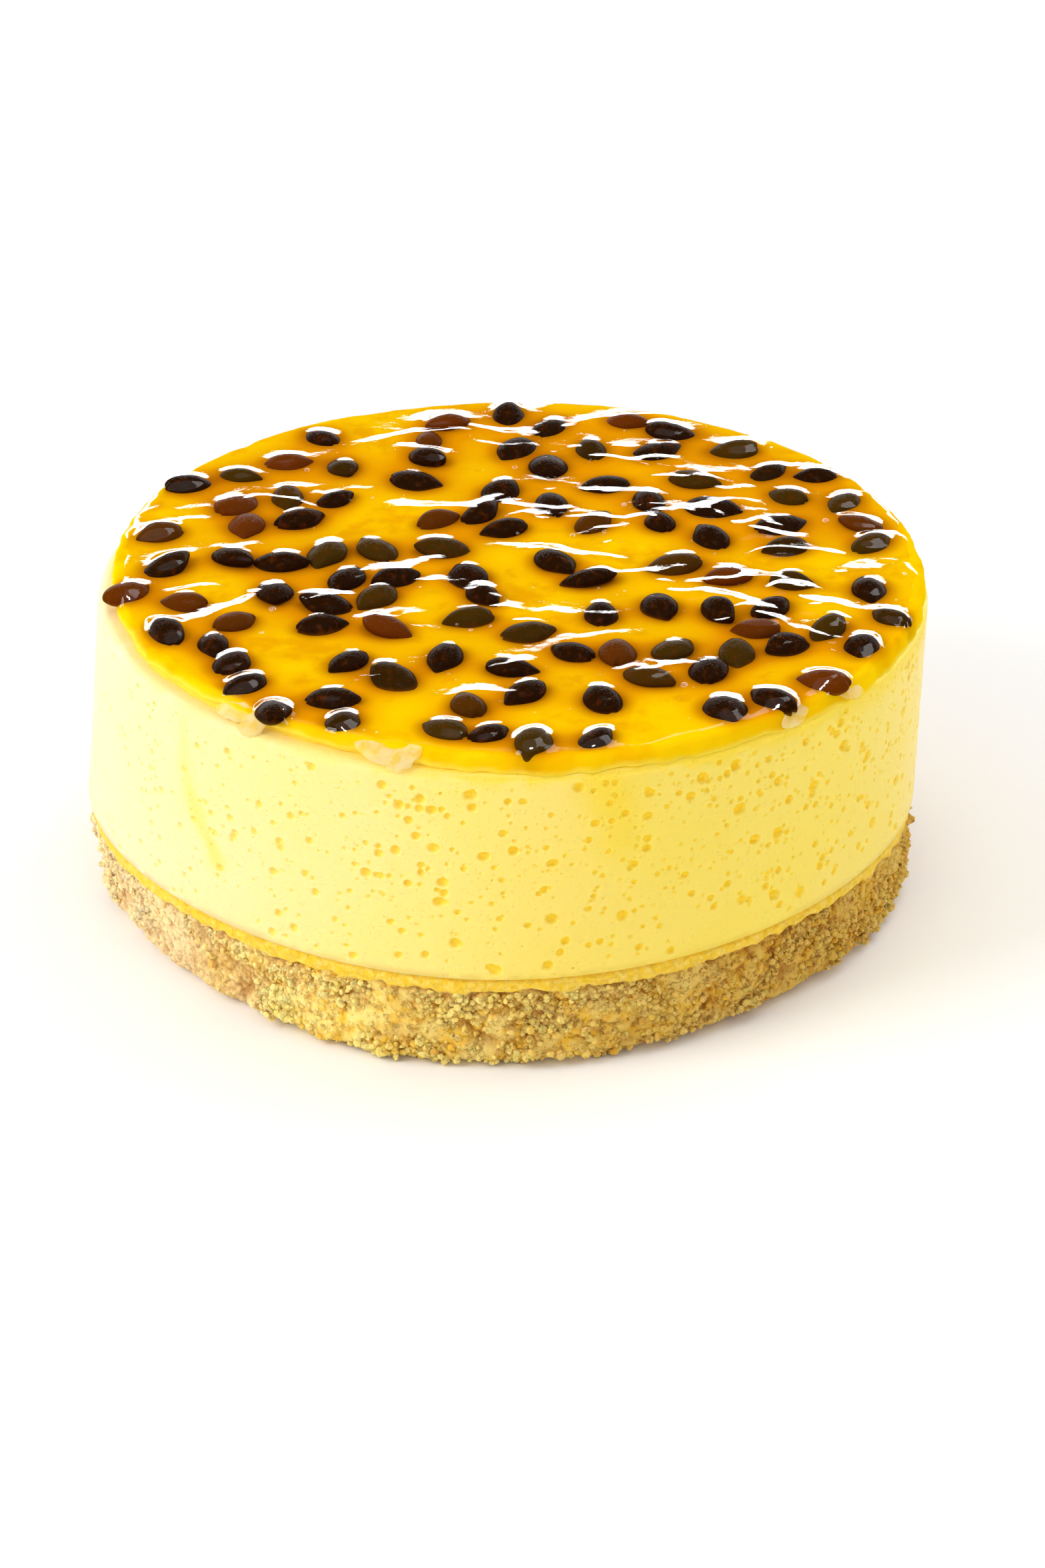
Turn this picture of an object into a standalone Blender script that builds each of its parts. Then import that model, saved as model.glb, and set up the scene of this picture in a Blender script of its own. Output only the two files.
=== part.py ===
"""A round passion fruit cheesecake, 100 mm across: pressed biscuit base, set filling, seeded jelly glaze.

Metres, +Z up. The origin lies under the middle of the cake, on the surface that the cake stands on.
"""

import math
import random

import bmesh
import bpy
from mathutils import Euler, Matrix, Vector, noise

# Driving dimensions of the cake
RADIUS = 0.0500          # inside of the ring that the cake was set in
BASE_TOP = 0.0120        # top of the pressed biscuit base
FILLING_TOP = 0.0380     # top of the set filling
GLAZE_TOP = 0.0402       # jelly surface between the seeds
LAYER_GAP = 0.0003       # clearance that the stacked layers keep
LEAN = 0.0023            # the top sits this much further towards +X than the foot
LEAN_PIVOT = 0.35        # share of the lean that the foot takes the other way

# How uneven each layer is
BASE_SPREAD = 0.0006     # the base is this much wider than the ring
BASE_CHAMFER = 0.0006    # worn edges of the base
CRAG_DEPTH = 0.00054     # relief of the broken biscuit on the side of the base
CRAG_SIZE = 0.0042
FINE_CRAG_DEPTH = 0.6    # the finer crags, as shares of the coarse ones
FINE_CRAG_SIZE = 0.42
SIDE_FADE = 4            # power by which unevenness of a side dies away towards the axis
SLUMP = 0.0005           # the foot of the filling has spread this much
SIDE_WANDER = 0.0003     # slow unevenness of the filling's wall
SIDE_WANDER_SIZE = 0.030
RIM_ROUND = 0.0012       # rounding of the filling's top edge
GLAZE_INSET = 0.0005     # the glaze stops this far inside the filling's wall
GLAZE_ROUND = 0.0011     # rounding of the glaze's edge
GLAZE_WANDER = 0.0005    # how far the glaze's outline wanders
WAVE_HEIGHT = 0.00022    # slow waves of the jelly surface
WAVE_SIZE = 0.011

# The seeds
SEED_COUNT = 106
SEED_LENGTH = 0.0063
SEED_WIDTH = 0.0046
SEED_THICKNESS = 0.0027
SEED_FIELD = 0.0470      # seeds keep inside this radius
SEED_SPACING = 0.0050    # centres are no nearer than this
SEED_TRIES = 5           # candidates for each seed, of which the most open one is kept
SEED_CENTRE = 0.03995    # height of a flat seed's centre
SEED_SIZES = (0.86, 1.12)                # smallest and largest seed, against the mean
SEED_LENGTHS = (0.95, 1.06)              # slender and stubby seeds of one size
SEED_WIDTHS = (0.88, 1.06)
SEED_THICKNESSES = (0.88, 1.10)
SEED_PITCH = math.radians(7.0)           # usual tilt along a seed
SEED_ROLL = math.radians(9.0)            # usual tilt across a seed
SEED_BEAK = 0.3          # how much narrower the pointed end is
BARE_PATCH = (0.0190, -0.0410, 0.0062)   # x, y and radius of a patch of rim without seeds
SEED_FLOOR = 0.0002      # jelly left under a seed
SEED_DRAW = 8302         # start of the random draws

# Fineness of the solids
BASE_STEPS = 150
FILLING_STEPS = 84
GLAZE_STEPS = 60
SIDE_BANDS = 6           # bands of faces up the side of the base and of the filling
GLAZE_RINGS = 8          # rings of faces across the glaze
ROUND_STEPS = 3          # faces around a rounded edge
FLAT_SHARE = 0.85        # a layer's flat faces are one disc out to this share of its radius
SEED_SIDES = 6
SEED_RINGS = 5
MERGE = 0.00001


def clear_scene():
    """Removes whatever the startup file holds."""
    for obj in list(bpy.data.objects):
        bpy.data.objects.remove(obj)


def food_material(name, colour, roughness):
    """A plain finish with the layer's colour and gloss."""
    material = bpy.data.materials.new(name)
    material.use_nodes = True
    shader = material.node_tree.nodes["Principled BSDF"]
    shader.inputs["Base Color"].default_value = (*colour, 1.0)
    shader.inputs["Roughness"].default_value = roughness
    shader.inputs["Metallic"].default_value = 0.0
    return material


def stepped(start, end, count):
    """Points from start to end, start left out, in count equal steps."""
    return [tuple(a + (b - a) * i / count for a, b in zip(start, end)) for i in range(1, count + 1)]


def quarter_round(centre, radius, count):
    """Points of a quarter circle that runs from the top of a rim over to its side."""
    turns = [math.pi / 2 * (1 - i / count) for i in range(count + 1)]
    return [(centre[0] + radius * math.cos(t), centre[1] + radius * math.sin(t)) for t in turns]


def turned(name, profile, steps):
    """A solid of revolution about Z from (radius, height) points that run down the outer side."""
    outline = bmesh.new()
    points = [outline.verts.new((radius, 0.0, height)) for radius, height in profile]
    for first, second in zip(points, points[1:]):
        outline.edges.new((first, second))
    mesh = bpy.data.meshes.new(name)
    outline.to_mesh(mesh)
    outline.free()
    obj = bpy.data.objects.new(name, mesh)
    bpy.context.scene.collection.objects.link(obj)
    screw = obj.modifiers.new("Turn", "SCREW")
    screw.axis = "Z"
    screw.angle = math.tau
    screw.steps = steps
    screw.render_steps = steps
    screw.use_merge_vertices = True
    screw.merge_threshold = MERGE
    apply_modifiers(obj)
    return obj


def apply_modifiers(obj):
    """Makes the evaluated mesh the object's own."""
    bpy.context.view_layer.update()
    graph = bpy.context.evaluated_depsgraph_get()
    mesh = bpy.data.meshes.new_from_object(obj.evaluated_get(graph))
    obj.modifiers.clear()
    obj.data = mesh


def reshape(obj, rule):
    """Moves every point of the object's mesh as the rule says."""
    for vertex in obj.data.vertices:
        vertex.co = rule(vertex.co.copy())
    obj.data.update()


def leaned(point):
    """The point carried sideways by the cake's lean at its height."""
    share = point.z / GLAZE_TOP - LEAN_PIVOT
    return Vector((point.x + LEAN * share, point.y, point.z))


def pushed_out(point, distance):
    """The point moved away from the axis, the full distance at the wall and nothing near the axis."""
    reach = math.hypot(point.x, point.y)
    share = min(1.0, reach / RADIUS) ** SIDE_FADE
    if reach < MERGE:
        return point
    factor = (reach + distance * share) / reach
    return Vector((point.x * factor, point.y * factor, point.z))


def crag(point):
    """Depth of the broken biscuit's relief at a point, about -1 to 1."""
    coarse = noise.noise(point / CRAG_SIZE)
    fine = noise.noise(point / (CRAG_SIZE * FINE_CRAG_SIZE) + Vector((7.0, 3.0, 1.0)))
    return coarse + FINE_CRAG_DEPTH * fine


def base_rule(point):
    """Breaks the side of the base up into crags."""
    return leaned(pushed_out(point, CRAG_DEPTH * crag(point)))


def wall_wander(point):
    """Slow unevenness of the ring-moulded wall, in metres."""
    return SIDE_WANDER * noise.noise(point / SIDE_WANDER_SIZE + Vector((0.0, 0.0, 4.0)))


def filling_rule(point):
    """Lets the filling's wall wander a little."""
    return leaned(pushed_out(point, wall_wander(point)))


def wave(x, y):
    """Slow waves of the jelly surface, in metres."""
    return WAVE_HEIGHT * noise.noise(Vector((x / WAVE_SIZE, y / WAVE_SIZE, 0.5)))


def glaze_edge_wander(point):
    """How far the glaze's outline wanders in and out, in metres."""
    around = math.atan2(point.y, point.x)
    place = Vector((math.cos(around) * 3.0, math.sin(around) * 3.0, 2.0))
    return GLAZE_WANDER * noise.noise(place) + wall_wander(point)


def glaze_rule(point):
    """Gives the glaze its waves and its wandering edge, and keeps its underside flat."""
    moved = pushed_out(point, glaze_edge_wander(point))
    depth = FILLING_TOP + LAYER_GAP
    share = max(0.0, min(1.0, (point.z - depth) / (GLAZE_TOP - depth)))
    moved.z += wave(point.x, point.y) * share
    return leaned(moved)


def scatter_seeds():
    """Places, turns and sizes of the seeds, by a seeded rule that keeps them apart but not in rows.

    Each is a dict of x, y, z, yaw, pitch, roll, length, width and thickness.
    """
    draw = random.Random(SEED_DRAW)
    seeds = []
    while len(seeds) < SEED_COUNT:
        best, best_room = None, SEED_SPACING
        for _ in range(SEED_TRIES):
            reach = SEED_FIELD * math.sqrt(draw.random())
            around = draw.uniform(0.0, math.tau)
            x, y = reach * math.cos(around), reach * math.sin(around)
            room = min((math.hypot(x - s["x"], y - s["y"]) for s in seeds), default=RADIUS)
            bare = math.hypot(x - BARE_PATCH[0], y - BARE_PATCH[1]) < BARE_PATCH[2]
            if room > best_room and not bare:
                best, best_room = (x, y), room
        if best is None:
            continue
        size = draw.uniform(*SEED_SIZES)
        seed = {
            "x": best[0],
            "y": best[1],
            "yaw": draw.uniform(0.0, math.tau),
            "pitch": draw.gauss(0.0, SEED_PITCH),
            "roll": draw.gauss(0.0, SEED_ROLL),
            "length": SEED_LENGTH * size * draw.uniform(*SEED_LENGTHS),
            "width": SEED_WIDTH * size * draw.uniform(*SEED_WIDTHS),
            "thickness": SEED_THICKNESS * draw.uniform(*SEED_THICKNESSES),
        }
        seed["z"] = seed_height(seed)
        seeds.append(seed)
    return seeds


def seed_height(seed):
    """Height of a seed's centre, raised where a tilted seed would reach below the glaze."""
    along = seed["length"] / 2 * math.sin(seed["pitch"])
    across = seed["width"] / 2 * math.sin(seed["roll"])
    reach = math.sqrt(along**2 + across**2 + (seed["thickness"] / 2) ** 2)
    lowest = FILLING_TOP + LAYER_GAP + SEED_FLOOR + reach
    return max(SEED_CENTRE + wave(seed["x"], seed["y"]), lowest)


def seed_form():
    """One seed of unit length, width and thickness: a faceted almond with its long axis along X."""
    form = bmesh.new()
    bmesh.ops.create_uvsphere(
        form,
        u_segments=SEED_SIDES,
        v_segments=SEED_RINGS,
        radius=0.5,
        matrix=Matrix.Rotation(math.pi / 2, 4, "Y"),
    )
    for vertex in form.verts:
        along = vertex.co.x / 0.5
        taper = 1.0 - SEED_BEAK * max(0.0, along) ** 2
        vertex.co.y *= taper
        vertex.co.z *= taper
    mesh = bpy.data.meshes.new("seed_form")
    form.to_mesh(mesh)
    form.free()
    return mesh


def place_seeds(collection):
    """One faceted seed object for each scattered seed, in the collection."""
    form = seed_form()
    for number, seed in enumerate(scatter_seeds()):
        obj = bpy.data.objects.new(f"seed_{number}", form)
        obj.location = leaned(Vector((seed["x"], seed["y"], seed["z"])))
        obj.rotation_euler = Euler((seed["roll"], seed["pitch"], seed["yaw"]))
        obj.scale = (seed["length"], seed["width"], seed["thickness"])
        collection.objects.link(obj)


def join_seeds(glaze):
    """Fuses the seeds with the glaze they are set in."""
    collection = bpy.data.collections.new("loose_seeds")
    bpy.context.scene.collection.children.link(collection)
    place_seeds(collection)
    union = glaze.modifiers.new("Set seeds", "BOOLEAN")
    union.operation = "UNION"
    union.operand_type = "COLLECTION"
    union.collection = collection
    apply_modifiers(glaze)
    for obj in list(collection.objects):
        bpy.data.objects.remove(obj)
    bpy.data.collections.remove(collection)


def biscuit_base():
    """The pressed biscuit base, with its side broken into crags and a flat foot."""
    radius = RADIUS + BASE_SPREAD
    inner = radius * FLAT_SHARE
    profile = [(0.0, BASE_TOP), (inner, BASE_TOP), (radius - BASE_CHAMFER, BASE_TOP)]
    profile += [(radius, BASE_TOP - BASE_CHAMFER)]
    profile += stepped((radius, BASE_TOP - BASE_CHAMFER), (radius, BASE_CHAMFER), SIDE_BANDS)
    profile += [(radius - BASE_CHAMFER, 0.0), (inner, 0.0), (0.0, 0.0)]
    base = turned("biscuit_base", profile, BASE_STEPS)
    reshape(base, base_rule)
    return base


def cheesecake_filling():
    """The set filling: a drum with a softly rounded top edge, solid right through."""
    bottom = BASE_TOP + LAYER_GAP
    inner = RADIUS * FLAT_SHARE
    profile = [(0.0, FILLING_TOP), (inner, FILLING_TOP)]
    profile += quarter_round((RADIUS - RIM_ROUND, FILLING_TOP - RIM_ROUND), RIM_ROUND, ROUND_STEPS)
    profile += stepped((RADIUS, FILLING_TOP - RIM_ROUND), (RADIUS + SLUMP, bottom), SIDE_BANDS)
    profile += [(inner, bottom), (0.0, bottom)]
    filling = turned("cheesecake_filling", profile, FILLING_STEPS)
    reshape(filling, filling_rule)
    return filling


def passion_fruit_glaze():
    """The jelly layer, with all the seeds that stand out of it."""
    bottom = FILLING_TOP + LAYER_GAP
    radius = RADIUS - GLAZE_INSET
    shoulder = radius - GLAZE_ROUND
    profile = [(0.0, GLAZE_TOP)]
    profile += stepped((0.0, GLAZE_TOP), (shoulder, GLAZE_TOP), GLAZE_RINGS)[:-1]
    profile += quarter_round((shoulder, GLAZE_TOP - GLAZE_ROUND), GLAZE_ROUND, ROUND_STEPS)
    profile += [(radius, bottom), (0.0, bottom)]
    glaze = turned("passion_fruit_glaze", profile, GLAZE_STEPS)
    reshape(glaze, glaze_rule)
    join_seeds(glaze)
    return glaze


def main():
    """Builds the three layers and gives each its finish."""
    clear_scene()
    finishes = {
        "biscuit": ((0.66, 0.40, 0.13), 0.9),
        "filling": ((0.96, 0.75, 0.22), 0.5),
        "glaze": ((0.93, 0.45, 0.01), 0.1),
    }
    layers = {
        "biscuit": biscuit_base(),
        "filling": cheesecake_filling(),
        "glaze": passion_fruit_glaze(),
    }
    cake = bpy.data.collections.new("passion_fruit_cheesecake")
    bpy.context.scene.collection.children.link(cake)
    for finish, layer in layers.items():
        bpy.context.scene.collection.objects.unlink(layer)
        cake.objects.link(layer)
        layer.data.materials.clear()
        layer.data.materials.append(food_material(finish, *finishes[finish]))
        layer.data.shade_smooth()
        layer.data.set_sharp_from_angle(angle=math.radians(40.0))


main()
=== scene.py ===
"""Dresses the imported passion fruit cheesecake: crumbly biscuit base, airy filling, wet seeded jelly."""

import logging
import math
import random
from dataclasses import dataclass, field
from enum import Enum

import bmesh
import bpy
import numpy as np
from mathutils import Euler, Matrix, Vector, kdtree, noise


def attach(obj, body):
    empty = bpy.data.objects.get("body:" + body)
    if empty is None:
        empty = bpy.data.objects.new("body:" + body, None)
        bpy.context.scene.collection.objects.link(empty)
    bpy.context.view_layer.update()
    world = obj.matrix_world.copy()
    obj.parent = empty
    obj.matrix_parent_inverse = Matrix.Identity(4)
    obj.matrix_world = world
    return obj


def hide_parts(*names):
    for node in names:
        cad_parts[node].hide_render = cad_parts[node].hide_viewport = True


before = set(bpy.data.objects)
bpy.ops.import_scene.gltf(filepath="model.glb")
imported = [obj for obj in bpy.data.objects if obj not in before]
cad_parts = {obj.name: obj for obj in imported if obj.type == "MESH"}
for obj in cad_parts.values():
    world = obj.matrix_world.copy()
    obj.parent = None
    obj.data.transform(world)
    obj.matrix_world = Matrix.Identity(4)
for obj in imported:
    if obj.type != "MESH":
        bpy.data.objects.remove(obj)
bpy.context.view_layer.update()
BODY = "root"
MM = 0.001
LOG = logging.getLogger("cheesecake")

Colour = tuple[float, float, float]


class Slot(Enum):
    """The record's material slots."""

    BISCUIT = "biscuit_base"
    FILLING = "cheesecake_filling"
    GLAZE = "passion_fruit_glaze"


# Shapes that several pieces share


def noise_at(points: np.ndarray, size: float, shift: Vector | None = None) -> np.ndarray:
    """Smooth noise at each point.

    Args:
        points: Rows of x, y, z in metres.
        size: The noise's feature size in metres.
        shift: Moves the pattern, in feature sizes.

    Returns:
        One value for each row, about -1 to 1.
    """
    scaled = points / size
    if shift is not None:
        scaled = scaled + np.array(shift)
    return np.array([noise.noise(row) for row in scaled.tolist()])


def clump_at(points: np.ndarray, size: float, shift: float = 0.0) -> tuple[np.ndarray, ...]:
    """Rounded clumps with crevices between them.

    Args:
        points: Rows of x, y, z in metres.
        size: A clump's size in metres.
        shift: Moves the pattern, in clump sizes.

    Returns:
        The distance to the clump's middle and the width left to its border, in clump sizes,
        and a random tone of 0 to 1 that the whole clump shares.
    """
    near, gap, tone = [], [], []
    for row in (points / size + shift).tolist():
        reach, middles = noise.voronoi(row)
        near.append(reach[0])
        gap.append(reach[1] - reach[0])
        tone.append(noise.cell(middles[0] * 61.0))
    return np.array(near), np.array(gap), np.array(tone)


def smooth_step(low: float, high: float, value: np.ndarray) -> np.ndarray:
    """Goes softly from 0 at low to 1 at high."""
    share = np.clip((value - low) / (high - low), 0.0, 1.0)
    return share * share * (3.0 - 2.0 * share)


@dataclass(frozen=True)
class Wobble:
    """A layer of smooth unevenness: how high and how wide its bumps are, in metres."""

    height: float
    size: float
    shift: tuple[float, float, float] = (0.0, 0.0, 0.0)


def wobbled(layers: tuple[Wobble, ...], points: np.ndarray) -> np.ndarray:
    """The sum of several layers of unevenness at each point."""
    return sum(layer.height * noise_at(points, layer.size, Vector(layer.shift)) for layer in layers)


@dataclass(frozen=True)
class CakeShape:
    """Sizes and unevenness of the cake's layers, in metres."""

    radius: float = 0.0500
    base_top: float = 0.0120
    filling_top: float = 0.0380
    glaze_top: float = 0.0402
    layer_gap: float = 0.0003
    lean: float = 0.0023
    lean_pivot: float = 0.35
    base_spread: float = 0.0006
    slump: float = 0.0005
    rim_round: float = 0.0012
    glaze_inset: float = 0.0005
    glaze_wander: float = 0.0005
    wander: float = 0.0003
    wander_size: float = 0.030
    wave_height: float = 0.00022
    wave_size: float = 0.011
    flank_depth: float = 0.0013
    rim_pull: float = 0.0013
    bare_turn: float = math.radians(-145.0)
    juice_height: float = 0.0382
    juice_drop: float = 0.0005
    juice_wobbles: tuple[Wobble, ...] = (
        Wobble(0.60 * MM, 8.0 * MM, (3.0, 5.0, 7.0)),
        Wobble(0.35 * MM, 2.4 * MM, (1.0, 2.0, 6.0)),
        Wobble(0.12 * MM, 0.8 * MM, (8.0, 2.0, 1.0)),
    )

    def leaned(self, points: np.ndarray) -> np.ndarray:
        """Carries points sideways by the cake's lean at their height.

        Args:
            points: Rows of x, y, z in metres.

        Returns:
            The moved rows.
        """
        moved = points.copy()
        moved[:, 0] += self.lean * (points[:, 2] / self.glaze_top - self.lean_pivot)
        return moved

    def ring(self, turn: np.ndarray) -> np.ndarray:
        """Points on a circle as wide as the cake, one for each turn about Z."""
        return np.column_stack((np.cos(turn), np.sin(turn), np.zeros(len(turn)))) * self.radius

    def wall_wander(self, points: np.ndarray) -> np.ndarray:
        """Slow unevenness of the wall, in metres, at each point."""
        return self.wander * noise_at(points, self.wander_size, Vector((0.0, 0.0, 4.0)))

    def flank(self, turn: np.ndarray) -> np.ndarray:
        """How far the four flanks lie inside the circle, in metres, at each turn about Z."""
        return self.flank_depth * np.sin(2.0 * turn) ** 2

    def bare_rim(self, turn: np.ndarray) -> np.ndarray:
        """Share by which the jelly stays short of the rim, full at the left of the front."""
        return smooth_step(0.50, 0.95, np.cos(turn - self.bare_turn))

    def wave(self, x: np.ndarray, y: np.ndarray) -> np.ndarray:
        """Slow waves of the jelly surface, in metres, at each place."""
        places = np.column_stack((x, y, np.full(len(x), 0.5 * self.wave_size)))
        return self.wave_height * noise_at(places, self.wave_size)

    def glaze_outline(self, turn: np.ndarray) -> np.ndarray:
        """How far the jelly's outline wanders in or out.

        Args:
            turn: Turns about Z.

        Returns:
            One distance in metres for each turn.
        """
        places = np.column_stack((np.cos(turn) * 3.0, np.sin(turn) * 3.0, np.full(len(turn), 2.0)))
        ring = np.column_stack((np.cos(turn), np.sin(turn), np.full(len(turn), 0.8))) * self.radius
        return self.glaze_wander * noise_at(places, 1.0) + self.wall_wander(ring)

    def juice_line(self, turn: np.ndarray) -> np.ndarray:
        """Height down to which the jelly has run over the rim.

        Args:
            turn: Turns about Z.

        Returns:
            One height in metres for each turn.
        """
        line = self.juice_height - self.juice_drop * np.clip(np.cos(turn - 0.1), 0.0, 1.0)
        return line + wobbled(self.juice_wobbles, self.ring(turn))


CAKE = CakeShape()


def quarter_round(radius: float, height: float, rounding: float, count: int) -> list[tuple[float, float]]:
    """Points of a rounded rim, from its top over to its side.

    Args:
        radius: The rim's outer radius.
        height: The rim's top.
        rounding: The radius of the rounding.
        count: Number of steps.

    Returns:
        Pairs of radius and height.
    """
    turns = [math.pi / 2 * (1 - i / count) for i in range(count + 1)]
    return [
        (radius - rounding + rounding * math.cos(t), height - rounding + rounding * math.sin(t))
        for t in turns
    ]


def turned_form(profile: list[tuple[float, float]], steps: int) -> bmesh.types.BMesh:
    """Spins a profile about Z into a closed form.

    Args:
        profile: Pairs of radius and height, from the top of the axis to its foot.
        steps: Number of faces around.

    Returns:
        The form, with its faces pointing out.
    """
    form = bmesh.new()
    points = [form.verts.new((radius, 0.0, height)) for radius, height in profile]
    edges = [form.edges.new(pair) for pair in zip(points, points[1:])]
    bmesh.ops.spin(
        form,
        geom=points + edges,
        cent=(0.0, 0.0, 0.0),
        axis=(0.0, 0.0, 1.0),
        angle=math.tau,
        steps=steps,
        use_merge=True,
    )
    bmesh.ops.remove_doubles(form, verts=form.verts, dist=0.001 * MM)
    bmesh.ops.recalc_face_normals(form, faces=form.faces)
    return form


def mesh_of(form: bmesh.types.BMesh, name: str) -> bpy.types.Mesh:
    """Writes a form into a new mesh, with smooth faces, and frees it.

    Args:
        form: The form.
        name: The mesh's name.

    Returns:
        The mesh.
    """
    mesh = bpy.data.meshes.new(name)
    form.to_mesh(mesh)
    form.free()
    mesh.shade_smooth()
    return mesh


def points_of(mesh: bpy.types.Mesh) -> np.ndarray:
    """Reads a mesh's points.

    Args:
        mesh: The mesh.

    Returns:
        Rows of x, y, z in metres.
    """
    flat = np.empty(len(mesh.vertices) * 3)
    mesh.vertices.foreach_get("co", flat)
    return flat.reshape(-1, 3)


def set_points(mesh: bpy.types.Mesh, points: np.ndarray) -> None:
    """Moves the mesh's points to these rows."""
    mesh.vertices.foreach_set("co", points.ravel())
    mesh.update()


def add_values(mesh: bpy.types.Mesh, name: str, values: np.ndarray) -> None:
    """Stores one number for each point, which materials read by its name."""
    attribute = mesh.attributes.new(name, "FLOAT", "POINT")
    attribute.data.foreach_set("value", values.astype(np.float32))


def joined_copies(template: bpy.types.Mesh, places: list[Matrix], name: str) -> bpy.types.Mesh:
    """One mesh that holds a copy of a small mesh at each place.

    Args:
        template: The small mesh.
        places: Where each copy goes.
        name: The new mesh's name.

    Returns:
        The joined mesh, whose points come copy after copy.
    """
    own = points_of(template)
    padded = np.column_stack((own, np.ones(len(own))))
    points = np.vstack([padded @ np.array(place).T[:, :3] for place in places])
    faces = [list(polygon.vertices) for polygon in template.polygons]
    joined = bpy.data.meshes.new(name)
    all_faces = [[v + i * len(own) for v in face] for i in range(len(places)) for face in faces]
    joined.from_pydata(points.tolist(), [], all_faces)
    joined.shade_smooth()
    return joined


def show(name: str, mesh: bpy.types.Mesh, slot: Slot, finish: "Finish", *nodes: str) -> bpy.types.Object:
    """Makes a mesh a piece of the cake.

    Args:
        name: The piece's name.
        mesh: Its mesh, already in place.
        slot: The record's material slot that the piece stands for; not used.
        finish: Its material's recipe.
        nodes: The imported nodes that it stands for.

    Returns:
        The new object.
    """
    piece = bpy.data.objects.new(name, mesh)
    bpy.context.scene.collection.objects.link(piece)
    mesh.materials.append(finish.material())
    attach(piece, BODY)
    if nodes:
        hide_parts(*nodes)
    mesh.calc_loop_triangles()
    LOG.info("%s: %d triangles", name, len(mesh.loop_triangles))
    return piece


# Finishes


class Recipe:
    """Builds one material's node tree in a few calls."""

    def __init__(self, name: str) -> None:
        """Starts a material with an empty tree.

        Args:
            name: The material's name.
        """
        self.made = bpy.data.materials.new(name)
        self.made.use_nodes = True
        self.tree = self.made.node_tree
        self.tree.nodes.clear()
        self.place = self.node("ShaderNodeTexCoord").outputs["Object"]

    def node(self, kind: str, **settings: object) -> bpy.types.Node:
        """Adds a node and sets its properties.

        Args:
            kind: The node's type.
            settings: Its properties.

        Returns:
            The node.
        """
        made = self.tree.nodes.new(kind)
        for key, value in settings.items():
            setattr(made, key, value)
        return made

    def feed(self, socket: bpy.types.NodeSocket, value: object) -> None:
        """Links an output to a socket, or sets the socket's own value.

        Args:
            socket: The socket that is fed.
            value: An output, a number or a colour.
        """
        if isinstance(value, bpy.types.NodeSocket):
            self.tree.links.new(value, socket)
        elif isinstance(value, tuple) and len(value) == 3 and socket.type == "RGBA":
            socket.default_value = (*value, 1.0)
        else:
            socket.default_value = value

    def attribute(self, name: str) -> bpy.types.NodeSocket:
        """Reads a number stored on the mesh."""
        return self.node("ShaderNodeAttribute", attribute_name=name).outputs["Fac"]

    def noise(self, size: float, detail: float = 3.0, rough: float = 0.55) -> bpy.types.NodeSocket:
        """Smooth noise, 0 to 1.

        Args:
            size: How wide its features are in metres.
            detail: How many finer layers it has.
            rough: How strong the finer layers are.

        Returns:
            The noise's output.
        """
        made = self.node("ShaderNodeTexNoise")
        self.feed(made.inputs["Vector"], self.place)
        made.inputs["Scale"].default_value = 1.0 / size
        made.inputs["Detail"].default_value = detail
        made.inputs["Roughness"].default_value = rough
        return made.outputs["Fac"]

    def cells(self, size: float, feature: str = "F1") -> bpy.types.NodeSocket:
        """Distance to the nearest of scattered points.

        Args:
            size: How far apart the points are in metres.
            feature: Which distance is taken.

        Returns:
            The distance, in sizes.
        """
        made = self.node("ShaderNodeTexVoronoi", feature=feature)
        self.feed(made.inputs["Vector"], self.place)
        made.inputs["Scale"].default_value = 1.0 / size
        return made.outputs["Distance"]

    def spread(self, value: object, low: float, high: float) -> bpy.types.NodeSocket:
        """Stretches a range into 0 to 1, softly and clamped.

        Args:
            value: The value.
            low: What becomes 0.
            high: What becomes 1.

        Returns:
            The stretched value.
        """
        made = self.node("ShaderNodeMapRange", interpolation_type="SMOOTHSTEP")
        self.feed(made.inputs["Value"], value)
        made.inputs["From Min"].default_value = low
        made.inputs["From Max"].default_value = high
        return made.outputs["Result"]

    def math(self, operation: str, first: object, second: object = 0.0) -> bpy.types.NodeSocket:
        """Sum, product or the like of two values.

        Args:
            operation: The Math node's operation.
            first: The first value.
            second: The second value.

        Returns:
            The result.
        """
        made = self.node("ShaderNodeMath", operation=operation)
        self.feed(made.inputs[0], first)
        self.feed(made.inputs[1], second)
        return made.outputs[0]

    def mix(self, share: object, first: object, second: object) -> bpy.types.NodeSocket:
        """Goes from the first colour to the second.

        Args:
            share: How far to go, 0 to 1.
            first: The first colour.
            second: The second.

        Returns:
            The mixed colour.
        """
        made = self.node("ShaderNodeMix", data_type="RGBA")
        self.feed(made.inputs["Factor"], share)
        self.feed(made.inputs[6], first)
        self.feed(made.inputs[7], second)
        return made.outputs[2]

    def bump(
        self, height: object, depth: float, strength: float, under: object = None
    ) -> bpy.types.NodeSocket:
        """Relief from a height of 0 to 1.

        Args:
            height: The height.
            depth: How deep it is in metres.
            strength: How much of it shows.
            under: The relief that it is added to.

        Returns:
            The bent normal.
        """
        made = self.node("ShaderNodeBump")
        self.feed(made.inputs["Height"], height)
        made.inputs["Distance"].default_value = depth
        made.inputs["Strength"].default_value = strength
        if under is not None:
            self.feed(made.inputs["Normal"], under)
        return made.outputs["Normal"]

    def principled(self, **values: object) -> bpy.types.Material:
        """Ends the tree in a Principled shader.

        Args:
            values: Socket names, with _ for spaces, and what feeds them.

        Returns:
            The finished material.
        """
        shader = self.node("ShaderNodeBsdfPrincipled")
        for key, value in values.items():
            self.feed(shader.inputs[key.replace("_", " ")], value)
        return self.ended(shader.outputs[0])

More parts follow.
